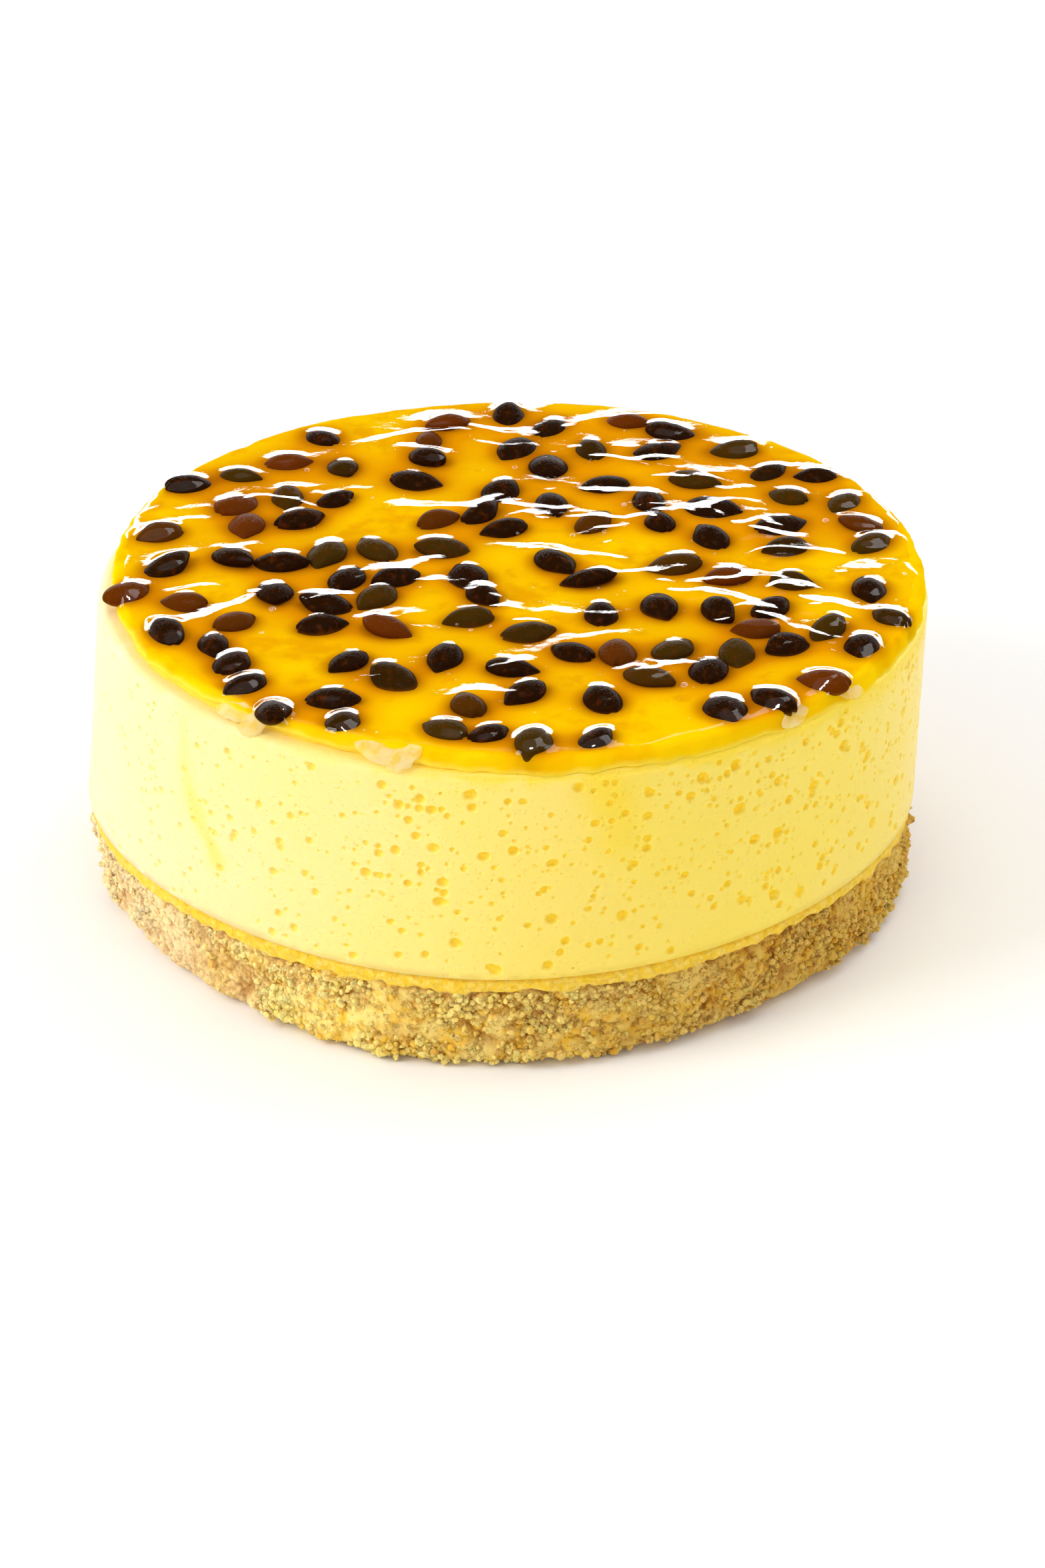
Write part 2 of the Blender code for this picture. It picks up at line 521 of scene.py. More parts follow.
    def ended(self, shader: bpy.types.NodeSocket) -> bpy.types.Material:
        """Ends the tree in a shader.

        Args:
            shader: The shader's output.

        Returns:
            The finished material.
        """
        output = self.node("ShaderNodeOutputMaterial")
        self.feed(output.inputs["Surface"], shader)
        return self.made


class Finish:
    """What every finish can do."""

    def material(self) -> bpy.types.Material:
        """Builds the material.

        Returns:
            The material.
        """
        raise NotImplementedError


@dataclass(frozen=True)
class FillingFinish(Finish):
    """Moist, pale yellow set filling: partly painted light pales it towards the left, juice yellows it
    towards the front right, and painted shade turns its air holes deeper yellow inside.
    """

    # pale is partly painted light, for the brighter left side; yellow is where juice soaked in.
    pale: Colour = (0.98, 0.75, 0.46)
    yellow: Colour = (0.98, 0.74, 0.10)
    # inside is painted shade: the deeper yellow of the air holes.
    inside: Colour = (1.0, 0.67, 0.0)
    stain: Colour = (0.98, 0.68, 0.015)
    grain_size: float = 0.5 * MM
    pit_spacing: float = 0.75 * MM
    pit_depth: float = 0.12 * MM
    fine_size: float = 0.28 * MM
    fine_depth: float = 0.10 * MM
    scatter: Colour = (1.0, 0.62, 0.20)
    scatter_depth: float = 0.5 * MM

    def material(self) -> bpy.types.Material:
        """Builds the material.

        Returns:
            The material.
        """
        recipe = Recipe("set_filling")
        # Pale to yellow: partly painted light that pales the left side, partly juice soaked in at the
        # front right.
        colour = recipe.mix(recipe.attribute("soak_and_painted_light"), self.pale, self.yellow)
        grain = recipe.spread(recipe.noise(self.grain_size), 0.3, 0.75)
        colour = recipe.mix(recipe.math("MULTIPLY", grain, 0.14), colour, self.stain)
        colour = recipe.mix(recipe.attribute("stain"), colour, self.stain)
        # Painted shade: the air holes turn deeper yellow inside.
        colour = recipe.mix(recipe.attribute("hollow_shade"), colour, self.inside)
        pits = recipe.spread(recipe.cells(self.pit_spacing), 0.05, 0.30)
        relief = recipe.bump(pits, self.pit_depth, 0.5)
        relief = recipe.bump(recipe.noise(self.fine_size, 4.0, 0.6), self.fine_depth, 0.55, relief)
        return recipe.principled(
            Base_Color=colour,
            Roughness=0.48,
            IOR=1.45,
            Subsurface_Weight=0.5,
            Subsurface_Radius=self.scatter,
            Subsurface_Scale=self.scatter_depth,
            Normal=relief,
        )


@dataclass(frozen=True)
class CrumbFinish(Finish):
    """Broken golden biscuit, pale on its grains, with painted shade that browns its crevices and darkens
    its right side, and painted light that pales its left side.
    """

    light: Colour = (1.0, 0.79, 0.25)
    golden: Colour = (1.0, 0.59, 0.04)
    # Painted light colour of the paler left side.
    left_light: Colour = (1.0, 0.77, 0.44)
    # dark is the painted shade colour of crevices, cracks and pits; on the grains it also darkens some
    # grains at random.
    dark: Colour = (0.40, 0.135, 0.002)
    band: Colour = (0.95, 0.60, 0.03)
    # Painted shade colour of the darker right side.
    right_shade: Colour = (0.58, 0.31, 0.010)
    patch_size: float = 3.5 * MM
    speck_size: float = 0.8 * MM
    pit_size: float = 0.75 * MM
    pit_depth: float = 0.25 * MM
    fine_size: float = 0.32 * MM
    fine_depth: float = 0.20 * MM
    scatter: Colour = (1.0, 0.55, 0.15)
    scatter_depth: float = 0.6 * MM

    def material(self) -> bpy.types.Material:
        """Builds the material.

        Returns:
            The material.
        """
        recipe = Recipe("biscuit_crumb")
        patches = recipe.spread(recipe.noise(self.patch_size, 4.0, 0.65), 0.38, 0.62)
        colour = recipe.mix(patches, self.golden, self.light)
        specks = recipe.spread(recipe.noise(self.speck_size, 3.0, 0.6), 0.42, 0.68)
        colour = recipe.mix(recipe.math("MULTIPLY", specks, 0.5), colour, self.light)
        colour = recipe.mix(recipe.attribute("tone"), colour, self.light)
        # Painted light: the left side turns paler.
        colour = recipe.mix(recipe.attribute("left_light"), colour, self.left_light)
        # Painted shade: the right side darkens.
        colour = recipe.mix(recipe.attribute("right_shade"), colour, self.right_shade)
        # Painted shade: crevices darken here; on the grains the same value darkens some grains at random.
        colour = recipe.mix(recipe.attribute("crevice"), colour, self.dark)
        smooth = recipe.mix(recipe.math("MULTIPLY", specks, 0.45), self.band, self.light)
        colour = recipe.mix(recipe.attribute("band"), colour, smooth)
        # Painted shade in the small pits of the bump, stronger on the shaded right side.
        pits = recipe.spread(recipe.noise(self.pit_size, 4.0, 0.7), 0.52, 0.64)
        depth = recipe.math("ADD", recipe.math("MULTIPLY", recipe.attribute("right_shade"), 0.9), 0.28)
        rough = recipe.math("SUBTRACT", 1.0, recipe.attribute("band"))
        depth = recipe.math("MULTIPLY", depth, rough)
        colour = recipe.mix(recipe.math("MULTIPLY", pits, depth), colour, self.dark)
        relief = recipe.bump(recipe.math("SUBTRACT", 1.0, pits), self.pit_depth, 0.6)
        relief = recipe.bump(recipe.noise(self.fine_size, 4.0, 0.65), self.fine_depth, 0.7, relief)
        return recipe.principled(
            Base_Color=colour,
            Roughness=0.85,
            IOR=1.4,
            Subsurface_Weight=0.40,
            Subsurface_Radius=self.scatter,
            Subsurface_Scale=self.scatter_depth,
            Normal=relief,
        )


@dataclass(frozen=True)
class JellyFinish(Finish):
    """Clouded orange-yellow fruit jelly, brighter at the rim; beside and among the seeds it turns deeper
    orange, partly for thicker jelly and partly as painted shade, and it is darker towards the back.
    """

    bright: Colour = (0.98, 0.56, 0.0)
    cloudy: Colour = (0.76, 0.28, 0.0)
    # deep is partly painted shade beside the seeds, partly thicker jelly.
    deep: Colour = (0.40, 0.115, 0.0)
    rim: Colour = (1.0, 0.63, 0.003)
    run: Colour = (0.98, 0.68, 0.06)
    cloud_size: float = 8.0 * MM
    scatter: Colour = (1.0, 0.5, 0.05)
    scatter_depth: float = 1.5 * MM

    def material(self) -> bpy.types.Material:
        """Builds the material.

        Returns:
            The material.
        """
        recipe = Recipe("fruit_jelly")
        cloud = recipe.spread(recipe.noise(self.cloud_size, 5.0, 0.6), 0.40, 0.66)
        # Painted shade in part: darker amber among clustered seeds and towards the back.
        shade = recipe.math("MAXIMUM", recipe.math("MULTIPLY", cloud, 0.7), recipe.attribute("crowd"))
        colour = recipe.mix(shade, self.bright, self.cloudy)
        # Painted shade in part: deeper orange right beside the seeds.
        colour = recipe.mix(recipe.attribute("beside_seed"), colour, self.deep)
        colour = recipe.mix(recipe.attribute("edge"), colour, self.rim)
        colour = recipe.mix(recipe.attribute("run"), colour, self.run)
        return recipe.principled(
            Base_Color=colour,
            Roughness=0.3,
            IOR=1.33,
            Specular_IOR_Level=0.0,
            Subsurface_Weight=0.35,
            Subsurface_Radius=self.scatter,
            Subsurface_Scale=self.scatter_depth,
        )


@dataclass(frozen=True)
class PulpFinish(Finish):
    """Pale, wet and slightly see-through fruit membrane."""

    pale: Colour = (0.98, 0.84, 0.42)
    amber: Colour = (0.98, 0.72, 0.12)
    cloud_size: float = 1.4 * MM
    cover: float = 0.40

    def material(self) -> bpy.types.Material:
        """Builds the material.

        Returns:
            The material.
        """
        recipe = Recipe("fruit_membrane")
        cloud = recipe.spread(recipe.noise(self.cloud_size), 0.35, 0.65)
        return recipe.principled(
            Base_Color=recipe.mix(cloud, self.pale, self.amber),
            Roughness=0.35,
            IOR=1.35,
            Specular_IOR_Level=0.25,
            Alpha=self.cover,
        )


@dataclass(frozen=True)
class FilmFinish(Finish):
    """The clear wet skin over jelly and seeds: it only reflects."""

    ior: float = 1.45
    roughness: float = 0.02
    ripple_size: float = 1.1 * MM
    ripple_depth: float = 0.05 * MM

    def material(self) -> bpy.types.Material:
        """Builds the material.

        Returns:
            The material.
        """
        recipe = Recipe("wet_film")
        ripple = recipe.bump(recipe.noise(self.ripple_size, 3.0, 0.6), self.ripple_depth, 0.7)
        clear = recipe.node("ShaderNodeBsdfTransparent")
        gloss = recipe.node("ShaderNodeBsdfGlossy")
        gloss.inputs["Roughness"].default_value = self.roughness
        recipe.feed(gloss.inputs["Normal"], ripple)
        fresnel = recipe.node("ShaderNodeFresnel")
        fresnel.inputs["IOR"].default_value = self.ior
        recipe.feed(fresnel.inputs["Normal"], ripple)
        outside = recipe.math("SUBTRACT", 1.0, recipe.node("ShaderNodeNewGeometry").outputs["Backfacing"])
        blend = recipe.node("ShaderNodeMixShader")
        recipe.feed(blend.inputs[0], recipe.math("MULTIPLY", fresnel.outputs[0], outside))
        recipe.feed(blend.inputs[1], clear.outputs[0])
        recipe.feed(blend.inputs[2], gloss.outputs[0])
        return recipe.ended(blend.outputs[0])


@dataclass(frozen=True)
class SeedFinish(Finish):
    """Nearly black brown seed coat, finely pitted, some reddish and some olive."""

    black: Colour = (0.018, 0.005, 0.0003)
    red: Colour = (0.130, 0.026, 0.0005)
    olive: Colour = (0.052, 0.024, 0.0005)
    sunk: Colour = (0.22, 0.075, 0.001)
    mottle_size: float = 1.1 * MM
    pit_spacing: float = 0.28 * MM
    pit_depth: float = 0.06 * MM

    def material(self) -> bpy.types.Material:
        """Builds the material.

        Returns:
            The material.
        """
        recipe = Recipe("seed_coat")
        tone = recipe.attribute("tone")
        colour = recipe.mix(recipe.spread(tone, 0.55, 0.75), self.black, self.olive)
        colour = recipe.mix(recipe.spread(tone, 0.80, 0.98), colour, self.red)
        mottle = recipe.spread(recipe.noise(self.mottle_size), 0.5, 0.8)
        colour = recipe.mix(recipe.math("MULTIPLY", mottle, 0.5), colour, self.red)
        colour = recipe.mix(recipe.attribute("sunk"), colour, self.sunk)
        pits = recipe.spread(recipe.cells(self.pit_spacing), 0.1, 0.5)
        relief = recipe.bump(pits, self.pit_depth, 0.7)
        return recipe.principled(
            Base_Color=colour,
            Roughness=0.3,
            IOR=1.4,
            Specular_IOR_Level=0.01,
            Normal=relief,
        )


# The seeds


@dataclass
class Seed:
    """One seed: its place, turns and sizes, in metres and radians."""

    x: float
    y: float
    yaw: float
    pitch: float
    roll: float
    length: float
    width: float
    thickness: float
    z: float = 0.0

    def place(self) -> Matrix:
        """Where the seed lies.

        Returns:
            The matrix that puts a seed of unit size there.
        """
        spot = CAKE.leaned(np.array([[self.x, self.y, self.z]]))[0]
        turn = Euler((self.roll, self.pitch, self.yaw)).to_matrix().to_4x4()
        size = Matrix.Diagonal((self.length, self.width, self.thickness, 1.0))
        return Matrix.Translation(spot) @ turn @ size


@dataclass
class SeedScatter:
    """The seeded rule that places the seeds, the same as the solids follow."""

    count: int = 106
    length: float = 0.0063
    width: float = 0.0046
    thickness: float = 0.0027
    field_radius: float = 0.0470
    spacing: float = 0.0050
    tries: int = 5
    centre: float = 0.03995
    sizes: tuple[float, float] = (0.86, 1.12)
    lengths: tuple[float, float] = (0.95, 1.06)
    widths: tuple[float, float] = (0.88, 1.06)
    thicknesses: tuple[float, float] = (0.88, 1.10)
    pitch: float = math.radians(7.0)
    roll: float = math.radians(9.0)
    bare_patch: tuple[float, float, float] = (0.0190, -0.0410, 0.0062)
    floor: float = 0.0002
    start: int = 8302

    def seeds(self) -> list[Seed]:
        """Draws all the seeds.

        Returns:
            The seeds, in the order they were drawn.
        """
        draw = random.Random(self.start)
        drawn: list[Seed] = []
        while len(drawn) < self.count:
            spot = self.open_spot(draw, drawn)
            if spot is None:
                continue
            size = draw.uniform(*self.sizes)
            seed = Seed(
                x=spot[0],
                y=spot[1],
                yaw=draw.uniform(0.0, math.tau),
                pitch=draw.gauss(0.0, self.pitch),
                roll=draw.gauss(0.0, self.roll),
                length=self.length * size * draw.uniform(*self.lengths),
                width=self.width * size * draw.uniform(*self.widths),
                thickness=self.thickness * draw.uniform(*self.thicknesses),
            )
            seed.z = self.height(seed)
            drawn.append(seed)
        return drawn

    def open_spot(self, draw: random.Random, drawn: list[Seed]) -> tuple[float, float] | None:
        """The most open of a few random spots, or None if all are taken.

        Args:
            draw: The random draws.
            drawn: The seeds so far.

        Returns:
            The spot's x and y.
        """
        best, best_room = None, self.spacing
        for _ in range(self.tries):
            reach = self.field_radius * math.sqrt(draw.random())
            around = draw.uniform(0.0, math.tau)
            x, y = reach * math.cos(around), reach * math.sin(around)
            room = min((math.hypot(x - s.x, y - s.y) for s in drawn), default=CAKE.radius)
            bare = math.hypot(x - self.bare_patch[0], y - self.bare_patch[1]) < self.bare_patch[2]
            if room > best_room and not bare:
                best, best_room = (x, y), room
        return best

    def height(self, seed: Seed) -> float:
        """Height of a seed's centre, raised where a tilted seed would reach below the jelly.

        Args:
            seed: The seed.

        Returns:
            The height in metres.
        """
        along = seed.length / 2 * math.sin(seed.pitch)
        across = seed.width / 2 * math.sin(seed.roll)
        reach = math.sqrt(along**2 + across**2 + (seed.thickness / 2) ** 2)
        lowest = CAKE.filling_top + CAKE.layer_gap + self.floor + reach
        wave = CAKE.wave(np.array([seed.x]), np.array([seed.y]))[0]
        return max(self.centre + wave, lowest)


@dataclass
class SeedPiece:
    """All the seeds as one piece."""

    scatter: SeedScatter = field(default_factory=SeedScatter)
    finish: SeedFinish = field(default_factory=SeedFinish)
    beak: float = 0.42
    keel: float = 0.22
    flatness: float = 2.4
    beak_start: float = 0.72
    beak_reach: float = 0.045
    tail_start: float = 0.78
    notch_depth: float = 0.050
    notch_width: float = 0.13
    tooth_height: float = 0.020
    tooth_width: float = 0.10
    tooth_place: float = 0.26
    warp: float = 0.035
    warp_size: float = 1.7 * MM
    tone_draw: int = 17

    def form(self) -> bpy.types.Mesh:
        """One seed of unit length, width and thickness, with its long axis along X.

        Returns:
            An almond with a beak at +X and a small notch with two teeth at -X.
        """
        form = bmesh.new()
        bmesh.ops.create_icosphere(form, subdivisions=4, radius=0.5)
        for vertex in form.verts:
            along = vertex.co.x / 0.5
            side = vertex.co.y / 0.5
            taper = 1.0 - self.beak * max(0.0, along) ** 2.2 - 0.10 * max(0.0, -along) ** 3
            vertex.co.y *= taper
            keel = 1.0 - self.keel * abs(side) ** self.flatness
            vertex.co.z *= (0.78 + 0.22 * taper) * keel
            if along > self.beak_start:
                share = (along - self.beak_start) / (1.0 - self.beak_start)
                vertex.co.x += self.beak_reach * share**2
            if along < -self.tail_start:
                share = (-along - self.tail_start) / (1.0 - self.tail_start)
                notch = math.exp(-((side / self.notch_width) ** 2))
                tooth = math.exp(-(((abs(side) - self.tooth_place) / self.tooth_width) ** 2))
                vertex.co.x += share * (self.notch_depth * notch - self.tooth_height * tooth)
        return mesh_of(form, "seed_form")

    def build(self) -> tuple[np.ndarray, list[Seed]]:
        """Makes the seeds.

        Returns:
            The piece's points and the seeds.
        """
        seeds = self.scatter.seeds()
        template = self.form()
        each = len(template.vertices)
        mesh = joined_copies(template, [seed.place() for seed in seeds], "seeds")
        points = points_of(mesh)
        centres = np.repeat([seed.place().translation for seed in seeds], each, axis=0)
        warp = self.warp * noise_at(points, self.warp_size, Vector((5.0, 1.0, 2.0)))
        points += (points - centres) * warp[:, None]
        set_points(mesh, points)
        draw = random.Random(self.tone_draw)
        tones = np.repeat([draw.random() for _ in seeds], each)
        add_values(mesh, "tone", tones)
        level = CAKE.glaze_top - 0.15 * MM
        add_values(mesh, "sunk", 1.0 - smooth_step(level - 0.7 * MM, level + 0.1 * MM, points[:, 2]))
        show("seeds", mesh, Slot.GLAZE, self.finish, "passion_fruit_glaze")
        return points, seeds


# The jelly


@dataclass(frozen=True)
class Ridge:
    """A soft ridge in the wet jelly: its points from the cake's middle, height and half width, in mm."""

    points: tuple[tuple[float, float], ...]
    height: float
    width: float


@dataclass
class WetSurface:
    """Heights of the jelly and of the wet film over it, on a square raster in metres."""

    span: float = 0.106
    cell: float = 0.15 * MM
    cover: float = 0.07 * MM
    rise: float = 0.86 * MM
    rise_start: float = 0.0488
    rise_end: float = 0.0385
    back_lift: float = 0.50 * MM
    dip: float = 0.34 * MM
    dip_start: float = 0.0474
    dip_end: float = 0.0490
    dip_wander: float = 0.9 * MM
    hill_sizes: tuple[float, float] = (2.0 * MM, 1.4 * MM)
    hill_share: float = 0.7
    skin_size: float = 0.36 * MM
    swell: float = 0.08 * MM
    swell_sizes: tuple[float, float] = (9.0 * MM, 5.5 * MM)
    ripple: float = 0.034 * MM
    ripple_sizes: tuple[float, float] = (3.4 * MM, 2.4 * MM)
    fine_ripple: float = 0.012 * MM
    fine_ripple_sizes: tuple[float, float] = (1.3 * MM, 1.0 * MM)
    sunk: float = 0.42 * MM
    wander: float = 1.6 * MM
    wander_size: float = 5.0 * MM
    fine_wander: float = 0.34 * MM
    fine_wander_size: float = 1.3 * MM
    mound_share: float = 0.24
    mound_widths: tuple[float, float] = (1.1 * MM, 2.0 * MM)
    mound_steepness: tuple[float, float] = (0.21, 0.46)
    mound_draw: int = 4
    ridge_share: float = 0.84
    right_share: float = 1.36
    ridges: tuple[Ridge, ...] = (
        Ridge(((-12, 39), (-8, 41), (-2, 36), (5, 32), (12, 32)), 0.70, 2.5),
        Ridge(((2, 22), (9, 21), (13, 18), (17, 18)), 0.60, 2.2),
        Ridge(((8, 29), (14, 30), (19, 27), (23, 24), (28, 20)), 0.70, 2.4),
        Ridge(((-32, 15), (-29, 18), (-25, 18), (-22, 16), (-18, 20)), 0.60, 2.4),
        Ridge(((-5, 13), (0, 15), (4, 11), (12, 11)), 0.65, 2.4),
        Ridge(((11, 4), (15, 10), (19, 13), (24, 12)), 0.65, 2.4),
        Ridge(((24, 12), (28, 15), (30, 9), (32, 5), (37, 1)), 0.70, 2.4),
        Ridge(((14, -5), (19, -5), (23, -10), (28, -14), (33, -19), (38, -23), (41, -25)), 0.70, 2.5),
        Ridge(((27, -6), (32, -7), (35, -11), (40, -14), (44, -14)), 0.70, 2.4),
        Ridge(((-10, -7), (-4, -8), (0, -13), (4, -14), (12, -16)), 0.55, 2.0),
        Ridge(((-46, -12), (-42, -10), (-38, -8), (-34, -9)), 0.65, 2.2),
        Ridge(((-45, 12), (-41, 15), (-36, 13)), 0.55, 2.2),
        Ridge(((-17, -18), (-13, -16), (-9, -19)), 0.50, 1.9),
        Ridge(((-25, -35), (-20, -34), (-17, -37)), 0.55, 1.9),
        Ridge(((-2, -40), (1, -39), (5, -42)), 0.55, 1.9),
        Ridge(((42, -3), (49, -1)), 0.55, 2.0),
    )
    film: np.ndarray = field(init=False)
    jelly: np.ndarray = field(init=False)
    # beside and crowd darken the jelly near the seeds, partly as painted shade.
    beside: np.ndarray = field(init=False)
    crowd: np.ndarray = field(init=False)

    def blurred(self, raster: np.ndarray, along: float, across: float | None = None) -> np.ndarray:
        """The raster smoothed by a Gaussian.

        Args:
            raster: The raster.
            along: The Gaussian's size along X in metres.
            across: Its size along Y, where that differs.

        Returns:
            The smoothed raster.
        """
        across = along if across is None else across
        waves_y = np.fft.fftfreq(raster.shape[0], self.cell)[:, None]
        waves_x = np.fft.rfftfreq(raster.shape[1], self.cell)[None, :]
        fade = np.exp(-2.0 * math.pi**2 * ((waves_y * across) ** 2 + (waves_x * along) ** 2))
        return np.fft.irfft2(np.fft.rfft2(raster) * fade, raster.shape)

    def waves(self, sizes: tuple[float, float], shift: float) -> np.ndarray:
        """Smooth noise over the whole raster, about -1 to 1.

        Args:
            sizes: The noise's feature sizes along X and Y in metres.
            shift: Picks another pattern.

        Returns:
            The noise, worked out on a coarser raster and stretched to the fine one.
        """
        coarse = max(40, int(self.span / min(sizes) * 5))
        axis = np.linspace(-self.span / 2, self.span / 2, coarse)
        x, y = np.meshgrid(axis, axis)
        places = np.column_stack((x.ravel() / sizes[0], y.ravel() / sizes[1], np.full(x.size, shift)))
        rough = noise_at(places, 1.0).reshape(coarse, coarse)
        fine = np.linspace(0, coarse - 1, self.count)
        low = np.minimum(fine.astype(int), coarse - 2)
        share = fine - low
        rows = rough[low] * (1 - share)[:, None] + rough[low + 1] * share[:, None]
        return rows[:, low] * (1 - share) + rows[:, low + 1] * share

    @property
    def count(self) -> int:
        """Cells along one side."""
        return int(round(self.span / self.cell))

    def warped(self) -> tuple[np.ndarray, np.ndarray]:
        """Places of all cells, pushed about so that what is drawn on them gets wavy edges.

        Returns:
            The places' x and y in metres.
        """
        axis = np.linspace(-self.span / 2, self.span / 2, self.count)
        x, y = np.meshgrid(axis, axis)
        wide, fine = (self.wander_size,) * 2, (self.fine_wander_size,) * 2
        x = x + self.wander * self.waves(wide, 21.0) + self.fine_wander * self.waves(fine, 23.0)
        y = y + self.wander * self.waves(wide, 22.0) + self.fine_wander * self.waves(fine, 24.0)
        return x, y

    def ridge_relief(self, x: np.ndarray, y: np.ndarray) -> np.ndarray:
        """Height of all the ridges at these places.

        Args:
            x: The places' x in metres.
            y: Their y.

        Returns:
            The relief in metres.
        """
        relief = np.zeros_like(x)
        for ridge in self.ridges:
            points = np.array(ridge.points) * MM
            nearest = np.full_like(x, self.span)
            along = np.zeros_like(x)
            for i, (start, end) in enumerate(zip(points, points[1:])):
                way = end - start
                share = ((x - start[0]) * way[0] + (y - start[1]) * way[1]) / (way @ way)
                share = np.clip(share, 0.0, 1.0)
                away = np.hypot(x - start[0] - share * way[0], y - start[1] - share * way[1])
                along = np.where(away < nearest, (i + share) / (len(points) - 1), along)
                nearest = np.minimum(nearest, away)
            bell = np.exp(-0.5 * (nearest / (ridge.width * MM)) ** 2)
            relief = np.maximum(relief, ridge.height * MM * bell * (0.6 + 1.6 * along * (1.0 - along)))
        relief *= 0.55 + 0.50 * smooth_step(-0.25, 0.30, self.waves((4.5 * MM, 3.0 * MM), 41.0))
        relief *= 1.0 - 0.40 * smooth_step(0.008, 0.036, y)
        right = smooth_step(-0.005, 0.022, x)
        return relief * (self.ridge_share + (self.right_share - self.ridge_share) * right)

    def mound_relief(self, x: np.ndarray, y: np.ndarray, seeds: list[Seed]) -> np.ndarray:
        """Height of the jelly that clings to some of the seeds in long mounds.

        Args:
            x: The places' x in metres.
            y: Their y.
            seeds: The seeds.

        Returns:
            The relief in metres.
        """
        draw = random.Random(self.mound_draw)
        relief = np.zeros_like(x)
        for seed in seeds:
            chance, tall, long, wide, turn, right, back = (draw.random() for _ in range(7))
            if chance > self.mound_share:
                continue
            width = self.mound_widths[0] + (self.mound_widths[1] - self.mound_widths[0]) * wide
            steep = self.mound_steepness[0] + (self.mound_steepness[1] - self.mound_steepness[0]) * tall
            angle = math.radians(8.0 - 26.0 * seed.x / CAKE.radius + 44.0 * (turn - 0.5))
            from_x = x - seed.x - self.lean() - 2.4 * MM * (right - 0.5)
            from_y = y - seed.y - 1.6 * MM * (back - 0.75)
            u = (from_x * math.cos(angle) + from_y * math.sin(angle)) / (width * (1.3 + 1.8 * long))
            v = (from_y * math.cos(angle) - from_x * math.sin(angle)) / width
            relief = np.maximum(relief, steep * width * np.exp(-0.5 * (u**2 + v**2)))
        return relief

    def lean(self) -> float:
        """How far the cake's lean carries the jelly to the right."""
        return CAKE.lean * (1.0 - CAKE.lean_pivot)

    def drape(self, points: np.ndarray, seeds: list[Seed]) -> None:
        """Lays the film over the seeds.

        Args:
            points: The seeds' points, leaned as the cake is.
            seeds: The seeds.
        """
        level = CAKE.glaze_top + CAKE.wave_height * self.waves((CAKE.wave_size, CAKE.wave_size), 0.5)
        axis = np.linspace(-self.span / 2, self.span / 2, self.count)
        reach = np.hypot(axis[None, :] - self.lean(), axis[:, None])
        turn = np.arctan2(axis[:, None], axis[None, :] - self.lean())
        drawn_in = reach + CAKE.rim_pull * CAKE.bare_rim(turn)
        inner = np.clip((self.rise_start - drawn_in) / (self.rise_start - self.rise_end), 0.0, 1.0)
        inner = self.blurred(inner, 0.8 * MM)
        back = smooth_step(-0.1, 0.75, axis[:, None] / np.maximum(reach, MM))
        back = back * smooth_step(0.020, 0.045, reach)
        inner = np.maximum(inner, (1.0 - 0.30 * smooth_step(0.030, 0.0495, reach)) * back)
        uneven = self.swell * self.waves(self.swell_sizes, 3.0)
        uneven += self.ripple * self.waves(self.ripple_sizes, 7.0)
        uneven += self.fine_ripple * self.waves(self.fine_ripple_sizes, 9.0)
        uneven *= 1.0 - 0.35 * smooth_step(0.005, 0.040, axis[:, None])
        x, y = self.warped()
        relief = np.maximum(self.ridge_relief(x, y), self.mound_relief(x, y, seeds))
        edge = drawn_in + self.dip_wander * self.waves((3.0 * MM, 3.0 * MM), 31.0)
        rim = smooth_step(self.dip_start, self.dip_end, edge) * (1.0 - back)
        calm = level + inner * (self.rise + uneven + relief) + 0.3 * (1.0 - inner) * (uneven + relief)
        calm -= self.dip * rim
        bumps = np.zeros_like(level)
        columns, rows = self.cells_of(points[:, 0], points[:, 1])
        np.maximum.at(bumps, (rows, columns), points[:, 2] + self.cover - calm[rows, columns])
        for _ in range(2):
            bumps = self.dilated(bumps)
        hills = self.hill_share * self.blurred(bumps, *self.hill_sizes)
        skin = self.blurred(np.maximum(bumps, hills), self.skin_size)
        self.film = self.blurred(calm + np.maximum(skin, bumps - 0.04 * MM), 0.10 * MM)
        mask = np.zeros_like(level)
        shown = points[:, 2] > CAKE.glaze_top - 0.3 * MM
        mask[rows[shown], columns[shown]] = 1.0
        for _ in range(2):
            mask = self.dilated(mask)
        deep = np.clip(0.5 * MM * self.blurred(mask, 1.6 * MM), 0.0, 0.4 * MM)
        self.jelly = level - self.sunk * (0.05 + 0.95 * inner) + 0.3 * deep + 0.2 * uneven
        self.jelly += self.back_lift * back
        # Painted shade in part: these rasters darken the jelly beside and among the seeds, and towards the
        # back.
        self.beside = np.clip(self.blurred(mask, 1.0 * MM) * 1.4 - 0.10, 0.0, 1.0)
        far = 0.40 * smooth_step(-0.005, 0.046, axis[:, None])
        self.crowd = np.clip(self.blurred(mask, 2.8 * MM) * 3.2 - 0.40 + far, 0.0, 1.0)

    def dilated(self, raster: np.ndarray) -> np.ndarray:
        """The highest value of each cell and its neighbours.

        Args:
            raster: The raster.

        Returns:
            The raster of those values.
        """
        wide = raster.copy()
        for axis in (0, 1):
            wide = np.maximum(wide, np.maximum(np.roll(wide, 1, axis), np.roll(wide, -1, axis)))
        return wide

